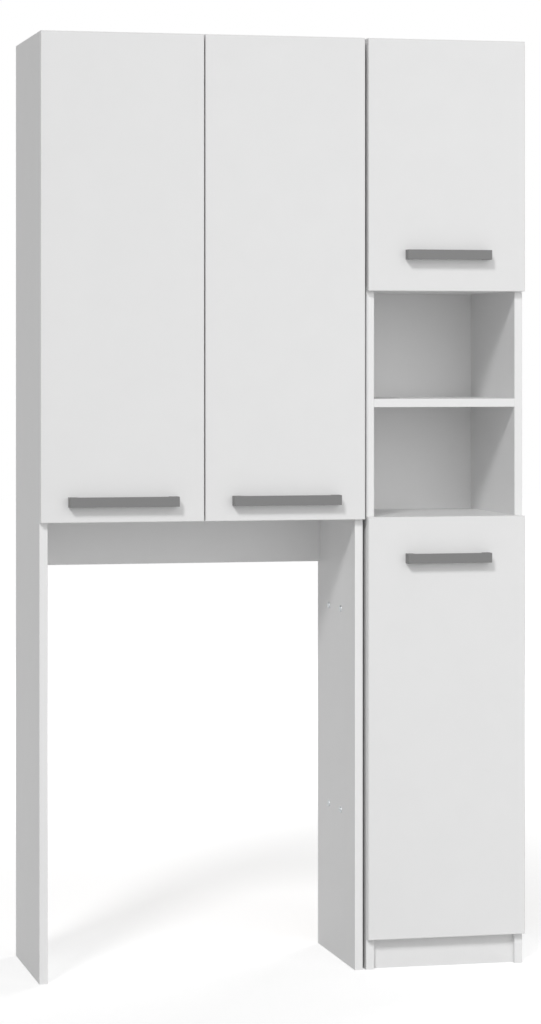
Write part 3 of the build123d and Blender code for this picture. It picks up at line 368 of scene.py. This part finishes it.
# %% [markdown]
# ## Hardboard back
#
# The backs are three-millimetre hardboard: wood fibre pressed hot, lacquered
# white on the room side only. Behind it is bare and brown, with dark and light
# fibres and no direction. The fibres are finer than a millimetre. They are
# drawn a few times as coarse, so that they show. Two layers of noise are
# enough: fibres in the small, and faint clouds in the large.

# %% Hardboard
FIBRE_MM = 5.0
FIBRE_DEPTH_MM = 0.2
FIBRE_STRENGTH = 0.15
CLOUD_MM = 90.0
CLOUD_SHARE = 0.12
BARE_STOPS = ((0.36, "#6b4a2c"), (0.48, "#8a6440"), (0.56, "#9c7650"), (0.68, "#b08c63"))
BARE_ROUGHNESS = 0.8
LACQUER = "#ebebeb"
LACQUER_ROUGHNESS = 0.45


def hardboard_finish():
    """Lacquered white wherever it doesn't face the rear, and bare there."""
    finish, tree, shader = new_finish("lacquered_hardboard", IOR=1.5)
    source = add_node(tree, "ShaderNodeTexCoord")
    place = source.outputs["Object"]
    facing = add_node(tree, "ShaderNodeSeparateXYZ", {0: source.outputs["Normal"]})
    fibres = add_node(tree, "ShaderNodeTexNoise", {
        "Vector": place, "Scale": per_metre(FIBRE_MM), "Detail": 6.0, "Roughness": 0.7, "Distortion": 1.5,
    })
    clouds = add_node(tree, "ShaderNodeTexNoise", {
        "Vector": place, "Scale": per_metre(CLOUD_MM), "Detail": 2.0,
    })
    mixed = add_node(tree, "ShaderNodeMix", {
        "Factor": CLOUD_SHARE, "A": fibres.outputs["Fac"], "B": clouds.outputs["Fac"],
    }, data_type="FLOAT")
    ramp = add_node(tree, "ShaderNodeValToRGB", {"Fac": mixed.outputs["Result"]})
    set_ramp(ramp, BARE_STOPS)
    bare = add_node(tree, "ShaderNodeMath", {0: facing.outputs["Y"], 1: FACES_THAT_WAY},
                    operation="GREATER_THAN").outputs[0]
    colour = add_node(tree, "ShaderNodeMix", {
        "Factor": bare, "A": linear(LACQUER), "B": ramp.outputs["Color"],
    }, data_type="RGBA")
    roughness = add_node(tree, "ShaderNodeMapRange", {
        "Value": bare, "To Min": LACQUER_ROUGHNESS, "To Max": BARE_ROUGHNESS,
    })
    bump = add_node(tree, "ShaderNodeBump", {
        "Height": fibres.outputs["Fac"], "Strength": FIBRE_STRENGTH, "Distance": FIBRE_DEPTH_MM * MM,
    })
    feed(tree, shader, Base_Color=colour.outputs["Result"], Roughness=roughness.outputs["Result"],
         Normal=bump.outputs["Normal"])
    return finish


HARDBOARD = hardboard_finish()
print(HARDBOARD.name, "has", len(HARDBOARD.node_tree.nodes), "nodes")

# %% [markdown]
# ## Metals and plastics
#
# The handles are a zinc alloy under a matte mid-grey powder coat, so they are
# not metallic to the eye: the coat is an even grey with a very fine grain.
# The hinges are pressed steel with bright nickel, the screws steel with zinc,
# and the cams a raw zinc casting, which is duller and pitted. Pads and spacers
# are moulded plastic, and the dowels turned beech.
#
# A plain grey or a plain mirror would look like a drawing. So one fine noise
# varies the tone, the gloss and the relief of each metal together. On the
# plastics it varies the tone and the relief, and on the beech the tone alone.

# %% Metals
COAT_DARK = "#777777"
COAT_LIGHT = "#7f7f7f"
COAT_SMOOTH = 0.46
COAT_ROUGH = 0.58
COAT_GRAIN_MM = 0.9
COAT_DEPTH_MM = 0.08
COAT_STRENGTH = 0.2
PLATING_DEPTH_MM = 0.05
PLATING_STRENGTH = 0.1


def coated_handle_finish():
    """Matte grey powder coat with a very fine grain."""
    finish, tree, shader = new_finish("grey_powder_coat", IOR=1.5)
    place = add_node(tree, "ShaderNodeTexCoord").outputs["Object"]
    grain = add_node(tree, "ShaderNodeTexNoise", {
        "Vector": place, "Scale": per_metre(COAT_GRAIN_MM), "Detail": 3.0,
    })
    colour = add_node(tree, "ShaderNodeMix", {
        "Factor": grain.outputs["Fac"], "A": linear(COAT_DARK), "B": linear(COAT_LIGHT),
    }, data_type="RGBA")
    roughness = add_node(tree, "ShaderNodeMapRange", {
        "Value": grain.outputs["Fac"], "To Min": COAT_SMOOTH, "To Max": COAT_ROUGH,
    })
    bump = add_node(tree, "ShaderNodeBump", {
        "Height": grain.outputs["Fac"], "Strength": COAT_STRENGTH, "Distance": COAT_DEPTH_MM * MM,
    })
    feed(tree, shader, Base_Color=colour.outputs["Result"], Roughness=roughness.outputs["Result"],
         Normal=bump.outputs["Normal"])
    return finish


def plated_finish(name, dark, light, grain_mm, smooth, rough):
    """A metal whose plating is a little uneven in tone and gloss."""
    finish, tree, shader = new_finish(name, Metallic=1.0)
    place = add_node(tree, "ShaderNodeTexCoord").outputs["Object"]
    wear = add_node(tree, "ShaderNodeTexNoise", {
        "Vector": place, "Scale": per_metre(grain_mm), "Detail": 4.0, "Roughness": 0.6,
    })
    colour = add_node(tree, "ShaderNodeMix", {
        "Factor": wear.outputs["Fac"], "A": linear(dark), "B": linear(light),
    }, data_type="RGBA")
    roughness = add_node(tree, "ShaderNodeMapRange", {
        "Value": wear.outputs["Fac"], "To Min": smooth, "To Max": rough,
    })
    bump = add_node(tree, "ShaderNodeBump", {
        "Height": wear.outputs["Fac"], "Strength": PLATING_STRENGTH, "Distance": PLATING_DEPTH_MM * MM,
    })
    feed(tree, shader, Base_Color=colour.outputs["Result"], Roughness=roughness.outputs["Result"],
         Normal=bump.outputs["Normal"])
    return finish


HANDLE_COAT = coated_handle_finish()
NICKEL = plated_finish("nickel_plated_steel", dark="#c4c1bb", light="#dad7d1", grain_mm=3.0,
                       smooth=0.22, rough=0.34)
ZINC_PLATE = plated_finish("zinc_plated_steel", dark="#b6babd", light="#ced2d4", grain_mm=1.5,
                           smooth=0.28, rough=0.42)
ZINC_CASTING = plated_finish("raw_zinc_casting", dark="#8d8f91", light="#a8aaab", grain_mm=0.8,
                             smooth=0.45, rough=0.65)
print("metals:", HANDLE_COAT.name, NICKEL.name, ZINC_PLATE.name, ZINC_CASTING.name)

# %% Plastics and beech
MOULD_GRAIN_MM = 0.7
MOULD_DEPTH_MM = 0.05
MOULD_STRENGTH = 0.15
BEECH_GRAIN_MM = 0.8
ALONG_THE_PEG = (0.15, 1.0, 1.0)
BEECH_STOPS = ((0.35, "#a97f55"), (0.5, "#c79f74"), (0.65, "#d8b78e"))


def moulded_finish(name, colour, mottle, roughness):
    """Moulded plastic with a faint eroded-die grain."""
    finish, tree, shader = new_finish(name, IOR=1.49, Roughness=roughness)
    place = add_node(tree, "ShaderNodeTexCoord").outputs["Object"]
    grain = add_node(tree, "ShaderNodeTexNoise", {
        "Vector": place, "Scale": per_metre(MOULD_GRAIN_MM), "Detail": 2.0,
    })
    mixed = add_node(tree, "ShaderNodeMix", {
        "Factor": grain.outputs["Fac"], "A": linear(colour), "B": linear(mottle),
    }, data_type="RGBA")
    bump = add_node(tree, "ShaderNodeBump", {
        "Height": grain.outputs["Fac"], "Strength": MOULD_STRENGTH, "Distance": MOULD_DEPTH_MM * MM,
    })
    feed(tree, shader, Base_Color=mixed.outputs["Result"], Normal=bump.outputs["Normal"])
    return finish


def beech_finish():
    """Turned beech: pale pinkish wood with short dark rays along the peg."""
    finish, tree, shader = new_finish("turned_beech", IOR=1.45, Roughness=0.65)
    place = add_node(tree, "ShaderNodeTexCoord").outputs["Object"]
    along = add_node(tree, "ShaderNodeMapping", {"Vector": place, "Scale": ALONG_THE_PEG})
    grain = add_node(tree, "ShaderNodeTexNoise", {
        "Vector": along.outputs["Vector"], "Scale": per_metre(BEECH_GRAIN_MM), "Detail": 4.0,
    })
    ramp = add_node(tree, "ShaderNodeValToRGB", {"Fac": grain.outputs["Fac"]})
    set_ramp(ramp, BEECH_STOPS)
    feed(tree, shader, Base_Color=ramp.outputs["Color"])
    return finish


GREY_SPACER = moulded_finish("grey_moulded_spacer", colour="#7a7a7a", mottle="#707070", roughness=0.5)
CLEAR_PAD = moulded_finish("clear_soft_pad", colour="#e2e2e0", mottle="#dadad8", roughness=0.35)
BEECH = beech_finish()
print("plastics and wood:", GREY_SPACER.name, CLEAR_PAD.name, BEECH.name)

# %% [markdown]
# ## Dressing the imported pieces
#
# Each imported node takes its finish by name, and what isn't named is a board.
# The frame's own material slots stay; only what fills them changes.

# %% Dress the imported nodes
HANDLES = ("wide_handle_left", "wide_handle_right", "top_handle", "tall_handle")
BACKS = ("cupboard_back", "column_back")
HINGE_STEEL = ("hinge_arms", "hinge_bases", "wide_cups_left", "wide_cups_right", "top_cups",
               "tall_cups", "wide_levers_left", "wide_levers_right", "top_levers", "tall_levers")
PADS = ("wide_pads_left", "wide_pads_right", "top_pads", "tall_pads")
# The screws, by the axis that they are driven along
SCREWS_ALONG = {
    X_AXIS: ("hinge_base_screws", "hinge_arm_screws"),
    Y_AXIS: ("wide_cup_screws_left", "wide_cup_screws_right", "top_cup_screws", "tall_cup_screws",
             "wide_handle_screws_left", "wide_handle_screws_right", "top_handle_screws",
             "tall_handle_screws"),
    Z_AXIS: ("bracket_screws",),
}
ZINC_STEEL = ("shelf_pins", "cam_bolts", "unit_bolts", "wall_brackets", *SCREWS_ALONG[X_AXIS],
              *SCREWS_ALONG[Y_AXIS], *SCREWS_ALONG[Z_AXIS])

finish_of = {name: MELAMINE for name in nodes}
finish_of.update(door_finishes)
finish_of.update(dict.fromkeys(HANDLES, HANDLE_COAT))
finish_of.update(dict.fromkeys(BACKS, HARDBOARD))
finish_of.update(dict.fromkeys(HINGE_STEEL, NICKEL))
finish_of.update(dict.fromkeys(ZINC_STEEL, ZINC_PLATE))
finish_of.update(dict.fromkeys(PADS, CLEAR_PAD))
finish_of.update({"cams": ZINC_CASTING, "dowels": BEECH, "unit_spacers": GREY_SPACER})

for name, node in nodes.items():
    if not node.material_slots:
        node.data.materials.append(finish_of[name])
    for slot in node.material_slots:
        slot.material = finish_of[name]
print("dressed", len(nodes), "nodes in", len(set(finish_of.values())), "finishes")

# %% [markdown]
# ## Tools for the small fittings
#
# A fitting could be a spun outline, but a screw is easier to follow when it
# grows step by step. So it is turned once from a cylinder, in edit mode, and
# copied to every place where the frame holds a plain peg. Its place, its
# direction and its sizes are read from that peg. The frame's meshes are loose
# triangles, so a copy is merged before its separate pegs are told apart.

# %% Reading the plain pegs
MERGE_MM = 0.01
SAME_PLACE_MM = 0.02
ALMOST = 0.99


def pegs_of(node):
    """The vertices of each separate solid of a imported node."""
    mesh = bmesh.new()
    mesh.from_mesh(nodes[node].data)
    bmesh.ops.remove_doubles(mesh, verts=mesh.verts, dist=MERGE_MM * MM)
    left = set(mesh.verts)
    found = []
    while left:
        group = set()
        still_to_follow = [left.pop()]
        while still_to_follow:
            vertex = still_to_follow.pop()
            group.add(vertex)
            for edge in vertex.link_edges:
                other = edge.other_vert(vertex)
                if other in left:
                    left.discard(other)
                    still_to_follow.append(other)
        found.append([vertex.co.copy() for vertex in group])
    mesh.free()
    return sorted(found, key=middle_of)


def middle_of(points):
    """Where a peg stands, rounded, so that pegs sort the same way in each run."""
    return tuple(round(sum(p[i] for p in points) / len(points), 4) for i in range(3))


def corners(points):
    """The lowest and the highest corner of some points."""
    low = Vector([min(p[i] for p in points) for i in range(3)])
    high = Vector([max(p[i] for p in points) for i in range(3)])
    return low, high


def read_screw(points, axis):
    """Where a screw's head is, which way it looks, and its sizes."""
    low, high = corners(points)
    middle = (low + high) / 2
    across = [i for i in range(3) if i != axis]
    from_axis = [math.hypot(*(p[i] - middle[i] for i in across)) for p in points]

    # The widest points are the head's, so the end nearer to them is its top
    head_radius = max(from_axis)
    wide = [p[axis] for p, r in zip(points, from_axis) if r > head_radius * ALMOST]
    looks_up = sum(wide) / len(wide) > middle[axis]
    tip, top = (low[axis], high[axis]) if looks_up else (high[axis], low[axis])
    under_head = max(wide, key=lambda level: abs(level - top))

    # The shank is measured at the tip, away from the head
    shank_radius = max(r for p, r in zip(points, from_axis) if abs(p[axis] - tip) < SAME_PLACE_MM * MM)
    way = Vector((0, 0, 0))
    way[axis] = 1 if looks_up else -1
    place = middle.copy()
    place[axis] = under_head
    return {
        "place": place, "way": way, "head_radius": head_radius, "head_height": abs(top - under_head),
        "shank_radius": shank_radius, "shank_length": abs(under_head - tip),
    }


print("pegs in bracket_screws:", len(pegs_of("bracket_screws")))

# %% Making and placing pieces
SMOOTH_ANGLE = math.radians(35)


def nothing_selected():
    """Deselects everything, because an operator acts on all that is selected."""
    bpy.ops.object.select_all(action="DESELECT")


def select_faces(piece, wanted):
    """In edit mode, selects exactly the faces that the test wants."""
    mesh = bmesh.from_edit_mesh(piece.data)
    for face in mesh.faces:
        face.select = False
    for edge in mesh.edges:
        edge.select = False
    for vertex in mesh.verts:
        vertex.select = False
    for face in mesh.faces:
        if wanted(face):
            face.select = True
    mesh.select_flush_mode()
    bmesh.update_edit_mesh(piece.data)


def turned(name, sides, profile):
    """A closed turned shape: a cylinder whose top is drawn on through (radius, height) steps."""
    nothing_selected()
    radius, base = profile[0]
    height = profile[1][1]
    bpy.ops.mesh.primitive_cylinder_add(vertices=sides, radius=radius, depth=height - base,
                                        location=(0, 0, (base + height) / 2))
    piece = bpy.context.object
    piece.name = name
    bpy.ops.object.mode_set(mode="EDIT")
    bpy.ops.mesh.select_mode(type="FACE")
    for next_radius, next_height in profile[2:]:
        # The cap is the only face with more than four corners that looks up
        select_faces(piece, lambda face: face.normal.z > ALMOST and len(face.verts) > 4)
        bpy.ops.mesh.extrude_region_move(TRANSFORM_OT_translate={"value": (0, 0, next_height - height)})
        share = next_radius / radius
        bpy.ops.transform.resize(value=(share, share, 1), center_override=(0, 0, next_height))
        radius = next_radius
        height = next_height
    bpy.ops.object.mode_set(mode="OBJECT")
    bpy.ops.object.transform_apply(location=True, rotation=True, scale=True)
    return piece


def copy_to(master, place, way, roll=0.0):
    """A copy with its own mesh, its axis turned from +Z to the way and its foot at the place."""
    copy = master.copy()
    copy.data = master.data.copy()
    scene.collection.objects.link(copy)
    turn = way.to_track_quat("Z", "Y").to_matrix().to_4x4() @ Matrix.Rotation(roll, 4, "Z")
    copy.matrix_world = Matrix.Translation(place) @ turn
    return copy


def joined(name, copies, finish):
    """All copies as one piece, at the origin, with its finish."""
    nothing_selected()
    for copy in copies:
        copy.select_set(True)
    bpy.context.view_layer.objects.active = copies[0]
    if len(copies) > 1:
        bpy.ops.object.join()
    piece = bpy.context.object
    bpy.ops.object.transform_apply(location=True, rotation=True, scale=True)
    piece.name = name
    piece.data.name = name
    piece.data.materials.clear()
    piece.data.materials.append(finish)
    bpy.ops.object.shade_smooth_by_angle(angle=SMOOTH_ANGLE)
    return piece


def body_of_node(node):
    """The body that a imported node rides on."""
    return nodes[node]["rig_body"]


print("the doors ride on", ", ".join(body_of_node(door) for door in DOORS))

# %% [markdown]
# ## Pan-head screws with a cross recess
#
# All the screws of the hinges, handles and brackets are zinc-plated pan heads
# with a cross recess. The head is turned: a short rim, a rounded shoulder and
# a nearly flat crown. The recess is a tapered cross, made from two narrowed
# cubes and cut out with a Boolean modifier. Cutting is the honest way here,
# because the real recess is punched in too.

# %% Cross recess
RECESS_MOST_MM = 5.0
RECESS_SHARE = 1.05
RECESS_DEPTH_SHARE = 0.7
RECESS_ARM_SHARE = 0.24
RECESS_END_SHARE = 0.45
RECESS_FLOOR_SHARE = 0.6


def cut_out(piece, cutter):
    """Cuts one piece out of another and takes the cutter away."""
    nothing_selected()
    bpy.context.view_layer.objects.active = piece
    piece.select_set(True)
    cut = piece.modifiers.new("cut", "BOOLEAN")
    cut.operation = "DIFFERENCE"
    cut.solver = "EXACT"
    cut.object = cutter
    bpy.ops.object.modifier_apply(modifier=cut.name)
    bpy.data.objects.remove(cutter)


def cross_cutter(size, depth, top):
    """A tapered cross that stands over the head and reaches down into it."""
    arms = []
    for turn in (0, QUARTER_TURN):
        nothing_selected()
        bpy.ops.mesh.primitive_cube_add(size=1.0, location=(0, 0, top))
        arm = bpy.context.object
        bpy.ops.transform.resize(value=(size, size * RECESS_ARM_SHARE, depth * 2))
        bpy.ops.object.transform_apply(location=True, rotation=True, scale=True)
        bpy.ops.object.mode_set(mode="EDIT")
        select_faces(arm, lambda face: face.normal.z < -ALMOST)
        bpy.ops.transform.resize(value=(RECESS_END_SHARE, RECESS_FLOOR_SHARE, 1),
                                 center_override=(0, 0, top - depth))
        bpy.ops.mesh.select_all(action="SELECT")
        bpy.ops.transform.rotate(value=turn, orient_axis="Z", center_override=(0, 0, 0))
        bpy.ops.object.mode_set(mode="OBJECT")
        arms.append(arm)
    return arms


print("recesses at most", RECESS_MOST_MM, "mm across")

# %% One screw
SCREW_SIDES = 28
POINT_SHARE = 0.35
TIP_LENGTH_SHARE = 1.6
TIP_FLAT_MM = 0.05
STEP_MM = 0.0001
SEAT_SHARE = 0.97
HEAD_OUTLINE_SHARES = ((1.0, 0.12), (0.98, 0.45), (0.86, 0.8), (0.62, 1.0))


def pan_head_screw(name, screw):
    """One screw along +Z with its seat at the origin: head above, shank below."""
    r = screw["head_radius"]
    h = screw["head_height"]
    shank = screw["shank_radius"]
    length = screw["shank_length"]
    point = shank * POINT_SHARE
    master = turned(name, SCREW_SIDES, [
        (point, -length), (point, -length + TIP_FLAT_MM * MM),
        (shank, -length + shank * TIP_LENGTH_SHARE), (shank, 0), (r * SEAT_SHARE, STEP_MM * MM),
        *((r * across, h * up) for across, up in HEAD_OUTLINE_SHARES),
    ])
    for cutter in cross_cutter(min(r * RECESS_SHARE, RECESS_MOST_MM * MM), h * RECESS_DEPTH_SHARE, h):
        cut_out(master, cutter)
    return master


def turned_copies(node, master, screws):
    """Copies of a screw at their places, each driven home at a different turn."""
    turns = random.Random(node)
    copies = [copy_to(master, s["place"], s["way"], turns.uniform(0, QUARTER_TURN)) for s in screws]
    bpy.data.objects.remove(master)
    return copies


print("a head is drawn through", len(HEAD_OUTLINE_SHARES), "rings of", SCREW_SIDES, "corners")


# %% All screws
def stand_for(node, copies):
    """Joins the copies into one zinc-plated piece that takes the node's place."""
    piece = joined("cross_" + node, copies, ZINC_PLATE)
    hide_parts(node)
    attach(piece, body_of_node(node))
    print(piece.name, len(copies), "pieces,", len(piece.data.polygons), "faces")


def place_screws(node, axis):
    """Replaces a node of plain screws with pan heads."""
    screws = [read_screw(points, axis) for points in pegs_of(node)]
    stand_for(node, turned_copies(node, pan_head_screw("pan_head", screws[0]), screws))


for axis, screw_nodes in SCREWS_ALONG.items():
    for node in screw_nodes:
        place_screws(node, axis)

# %% [markdown]
# ## Connector bolts between the two units
#
# These come in two parts: a hollow sleeve with a wide low head goes in from
# one side, and a screw with the same head is driven into it from the other.
# Both heads have a cross recess. The sleeve's bore is cut with a plain
# cylinder, so that the screw has room inside it.

# %% Connector bolts
BORE_SIDES = 20
SLEEVE_WALL_MM = 0.9
SLEEVE_SOLID_MM = 2.5


def bored_sleeve(sleeve):
    """A sleeve with its bore open at the far end and solid under the head."""
    master = pan_head_screw("sleeve", sleeve)
    depth = sleeve["shank_length"] - SLEEVE_SOLID_MM * MM
    nothing_selected()
    bpy.ops.mesh.primitive_cylinder_add(
        vertices=BORE_SIDES, radius=sleeve["shank_radius"] - SLEEVE_WALL_MM * MM, depth=2 * depth,
        location=(0, 0, -sleeve["shank_length"]))
    cut_out(master, bpy.context.object)
    return master


fittings = [read_screw(points, X_AXIS) for points in pegs_of("unit_bolts")]
# A screw has the thin shank, because it goes inside the sleeve
thin = min(fitting["shank_radius"] for fitting in fittings)
link_screws = [f for f in fittings if f["shank_radius"] < thin / ALMOST]
link_sleeves = [f for f in fittings if f["shank_radius"] >= thin / ALMOST]
link_copies = turned_copies("link_screws", pan_head_screw("link_screw", link_screws[0]), link_screws)
link_copies += turned_copies("link_sleeves", bored_sleeve(link_sleeves[0]), link_sleeves)
stand_for("unit_bolts", link_copies)

# %% [markdown]
# ## Nails round the backs
#
# The hardboard backs are held in their rebates by small flat-headed nails, one
# about every fifteen centimetres along the sides, and a few in each fixed
# board. A nail is turned like the screws. Its head stands a quarter of a
# millimetre proud of the back, which is enough to catch the light.

# %% Nails
NAIL_SIDES = 14
NAIL_STEP_MM = 150.0
NAIL_LENGTH_MM = 14.0
NAIL_SHANK_MM = 0.7
NAIL_NECK_MM = 0.05
NAIL_HEAD_MM = 2.0
NAIL_PROUD_MM = 0.25
NAIL_HEAD_SHARES = ((0.97, 0.6), (0.8, 1.0))
NAIL_EDGE_MM = 4.0
OUT_OF_THE_BACK = Vector((0, 1, 0))
COVERED_BOARDS = {
    "cupboard_back": ("bay_unit_top", "cupboard_floor"),
    "column_back": ("column_top", "niche_ceiling", "niche_shelf", "niche_floor", "column_bottom"),
}


def spaced(start, end):
    """Evenly spaced places from start to end, about one nail's step apart."""
    steps = max(1, round((end - start) / (NAIL_STEP_MM * MM)))
    return [start + (end - start) * i / steps for i in range(steps + 1)]


def nail_places(back, boards):
    """Down both edges of a back, and along each fixed board that it covers."""
    low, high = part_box(back)
    edges = (low.x + NAIL_EDGE_MM * MM, high.x - NAIL_EDGE_MM * MM)
    levels = [sum(corner.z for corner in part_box(board)) / 2 for board in boards]
    places = [(x, z) for x in edges for z in spaced(min(levels), max(levels))]
    places += [(x, z) for z in levels for x in spaced(*edges)[1:-1]]
    return [Vector((x, high.y, z)) for x, z in places]


nail_master = turned("nail", NAIL_SIDES, [
    (NAIL_SHANK_MM * MM, -NAIL_LENGTH_MM * MM), (NAIL_SHANK_MM * MM, -NAIL_NECK_MM * MM),
    (NAIL_HEAD_MM * MM, 0.0),
    *((NAIL_HEAD_MM * across * MM, NAIL_PROUD_MM * up * MM) for across, up in NAIL_HEAD_SHARES),
])
for back, boards in COVERED_BOARDS.items():
    nail_copies = [copy_to(nail_master, place, OUT_OF_THE_BACK) for place in nail_places(back, boards)]
    nails = joined("nails_" + back, nail_copies, ZINC_PLATE)
    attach(nails, body_of_node(back))
    print(nails.name, len(nail_copies), "nails")
bpy.data.objects.remove(nail_master)

# %% [markdown]
# ## The stage
#
# A plain pale floor and an even white surround, with three soft lights. The
# lamp stands high on the left in front: its direction is read from the handle
# shadows, which fall down and to the right. A large panel in front fills the
# niches. A weaker one, behind and to the right, keeps the back from going
# dark. It stands far to the side, so that it doesn't shine through the gap
# between the units. The surround is white to the camera and dimmer to the
# boards, so that they keep their shades of grey against a white ground. The
# floor does the same. It glows less near the cabinet, where the lights reach
# it well, so that it is white all over and still keeps the shadow. A brighter
# lamp would whiten the ground too, but it would burn out the white boards.

# %% Surround
SURROUND_LIGHT = 0.25
SURROUND_SEEN = 1.0


def seen_directly(tree):
    """One for rays from the camera, and for what metal and glass mirror."""
    path = add_node(tree, "ShaderNodeLightPath")
    mirrored = add_node(tree, "ShaderNodeMath", {
        0: path.outputs["Is Glossy Ray"], 1: path.outputs["Is Transmission Ray"],
    }, operation="MAXIMUM")
    return add_node(tree, "ShaderNodeMath", {
        0: path.outputs["Is Camera Ray"], 1: mirrored.outputs[0],
    }, operation="MAXIMUM").outputs[0]


world = bpy.data.worlds.new("surround")
scene.world = world
world.use_nodes = True
surround = world.node_tree
surround.nodes.clear()
dim = add_node(surround, "ShaderNodeBackground", {"Color": WHITE, "Strength": SURROUND_LIGHT})
bright = add_node(surround, "ShaderNodeBackground", {"Color": WHITE, "Strength": SURROUND_SEEN})
chosen = add_node(surround, "ShaderNodeMixShader", {
    0: seen_directly(surround), 1: dim.outputs[0], 2: bright.outputs[0],
})
add_node(surround, "ShaderNodeOutputWorld", {"Surface": chosen.outputs[0]})
print("surround lights the boards at", SURROUND_LIGHT, "and shows at", SURROUND_SEEN)

# %% Floor
FLOOR_SIZE = 40.0
FLOOR_COLOUR = "#d6d6d6"
FLOOR_LIFT_NEAR = 0.53
FLOOR_LIFT_FAR = 0.7
# The lift grows between these two distances from the middle, in metres
FLOOR_NEAR = 0.7
FLOOR_FAR = 3.5

nothing_selected()
bpy.ops.mesh.primitive_plane_add(size=FLOOR_SIZE, location=(0, 0, 0))
floor = bpy.context.object
floor.name = "floor"
floor_finish = bpy.data.materials.new("pale_floor")
floor_finish.use_nodes = True
floor_tree = floor_finish.node_tree
floor_tree.nodes.clear()
matte = add_node(floor_tree, "ShaderNodeBsdfDiffuse", {"Color": linear(FLOOR_COLOUR)})
floor_place = add_node(floor_tree, "ShaderNodeTexCoord").outputs["Object"]
distance = add_node(floor_tree, "ShaderNodeVectorMath", {0: floor_place}, operation="LENGTH")
spread = add_node(floor_tree, "ShaderNodeMapRange", {
    "Value": distance.outputs["Value"], "From Min": FLOOR_NEAR, "From Max": FLOOR_FAR,
    "To Min": FLOOR_LIFT_NEAR, "To Max": FLOOR_LIFT_FAR,
}, interpolation_type="SMOOTHSTEP")
lift = add_node(floor_tree, "ShaderNodeMath", {
    0: seen_directly(floor_tree), 1: spread.outputs["Result"],
}, operation="MULTIPLY")
glow = add_node(floor_tree, "ShaderNodeEmission", {"Color": WHITE, "Strength": lift.outputs[0]})
both_shaders = add_node(floor_tree, "ShaderNodeAddShader", {0: matte.outputs[0], 1: glow.outputs[0]})
add_node(floor_tree, "ShaderNodeOutputMaterial", {"Surface": both_shaders.outputs[0]})
floor.data.materials.append(floor_finish)
floor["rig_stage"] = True
print("floor of", FLOOR_SIZE, "metres, lifted by", FLOOR_LIFT_NEAR, "near and", FLOOR_LIFT_FAR, "far")

# %% Lamp and panels
LAMP_TRAVEL = Vector((0.56, 1.0, -0.8))
LAMP_STRENGTH = 1.2
LAMP_SOFTNESS = math.radians(11)
PANELS = {
    "front_panel": {"size": (5.0, 3.4), "place": (0.9, -4.2, 2.3), "aim": (0.1, 0.0, 1.1), "power": 71.0},
    "rear_panel": {"size": (2.4, 2.4), "place": (3.6, 3.8, 2.8), "aim": (0.1, 0.1, 0.9), "power": 115.0},
}

lamp_data = bpy.data.lights.new("studio_lamp", "SUN")
lamp_data.energy = LAMP_STRENGTH
lamp_data.angle = LAMP_SOFTNESS
lamp = bpy.data.objects.new("studio_lamp", lamp_data)
lamp.rotation_euler = LAMP_TRAVEL.to_track_quat("-Z", "Y").to_euler()
scene.collection.objects.link(lamp)

for name, panel in PANELS.items():
    light = bpy.data.lights.new(name, "AREA")
    light.shape = "RECTANGLE"
    light.size, light.size_y = panel["size"]
    light.energy = panel["power"]
    stand = bpy.data.objects.new(name, light)
    stand.location = panel["place"]
    towards = Vector(panel["aim"]) - Vector(panel["place"])
    stand.rotation_euler = towards.to_track_quat("-Z", "Y").to_euler()
    stand.visible_camera = False
    scene.collection.objects.link(stand)
print("lamp along", [round(v, 2) for v in LAMP_TRAVEL], "and panels:", ", ".join(PANELS))

# %% [markdown]
# ## Sizes
#
# The dressed cabinet has to keep the size of the construction. Only the nail
# heads may stand out, by their quarter of a millimetre. Both boxes are measured,
# and how far the dressed one grows past the construction is printed.

# %% Sizes
visual_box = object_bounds()
grown = max([c - v for c, v in zip(cad_box[0], visual_box[0])]
            + [v - c for c, v in zip(cad_box[1], visual_box[1])])
print("past the construction by", round(grown / MM, 2), "mm at most")
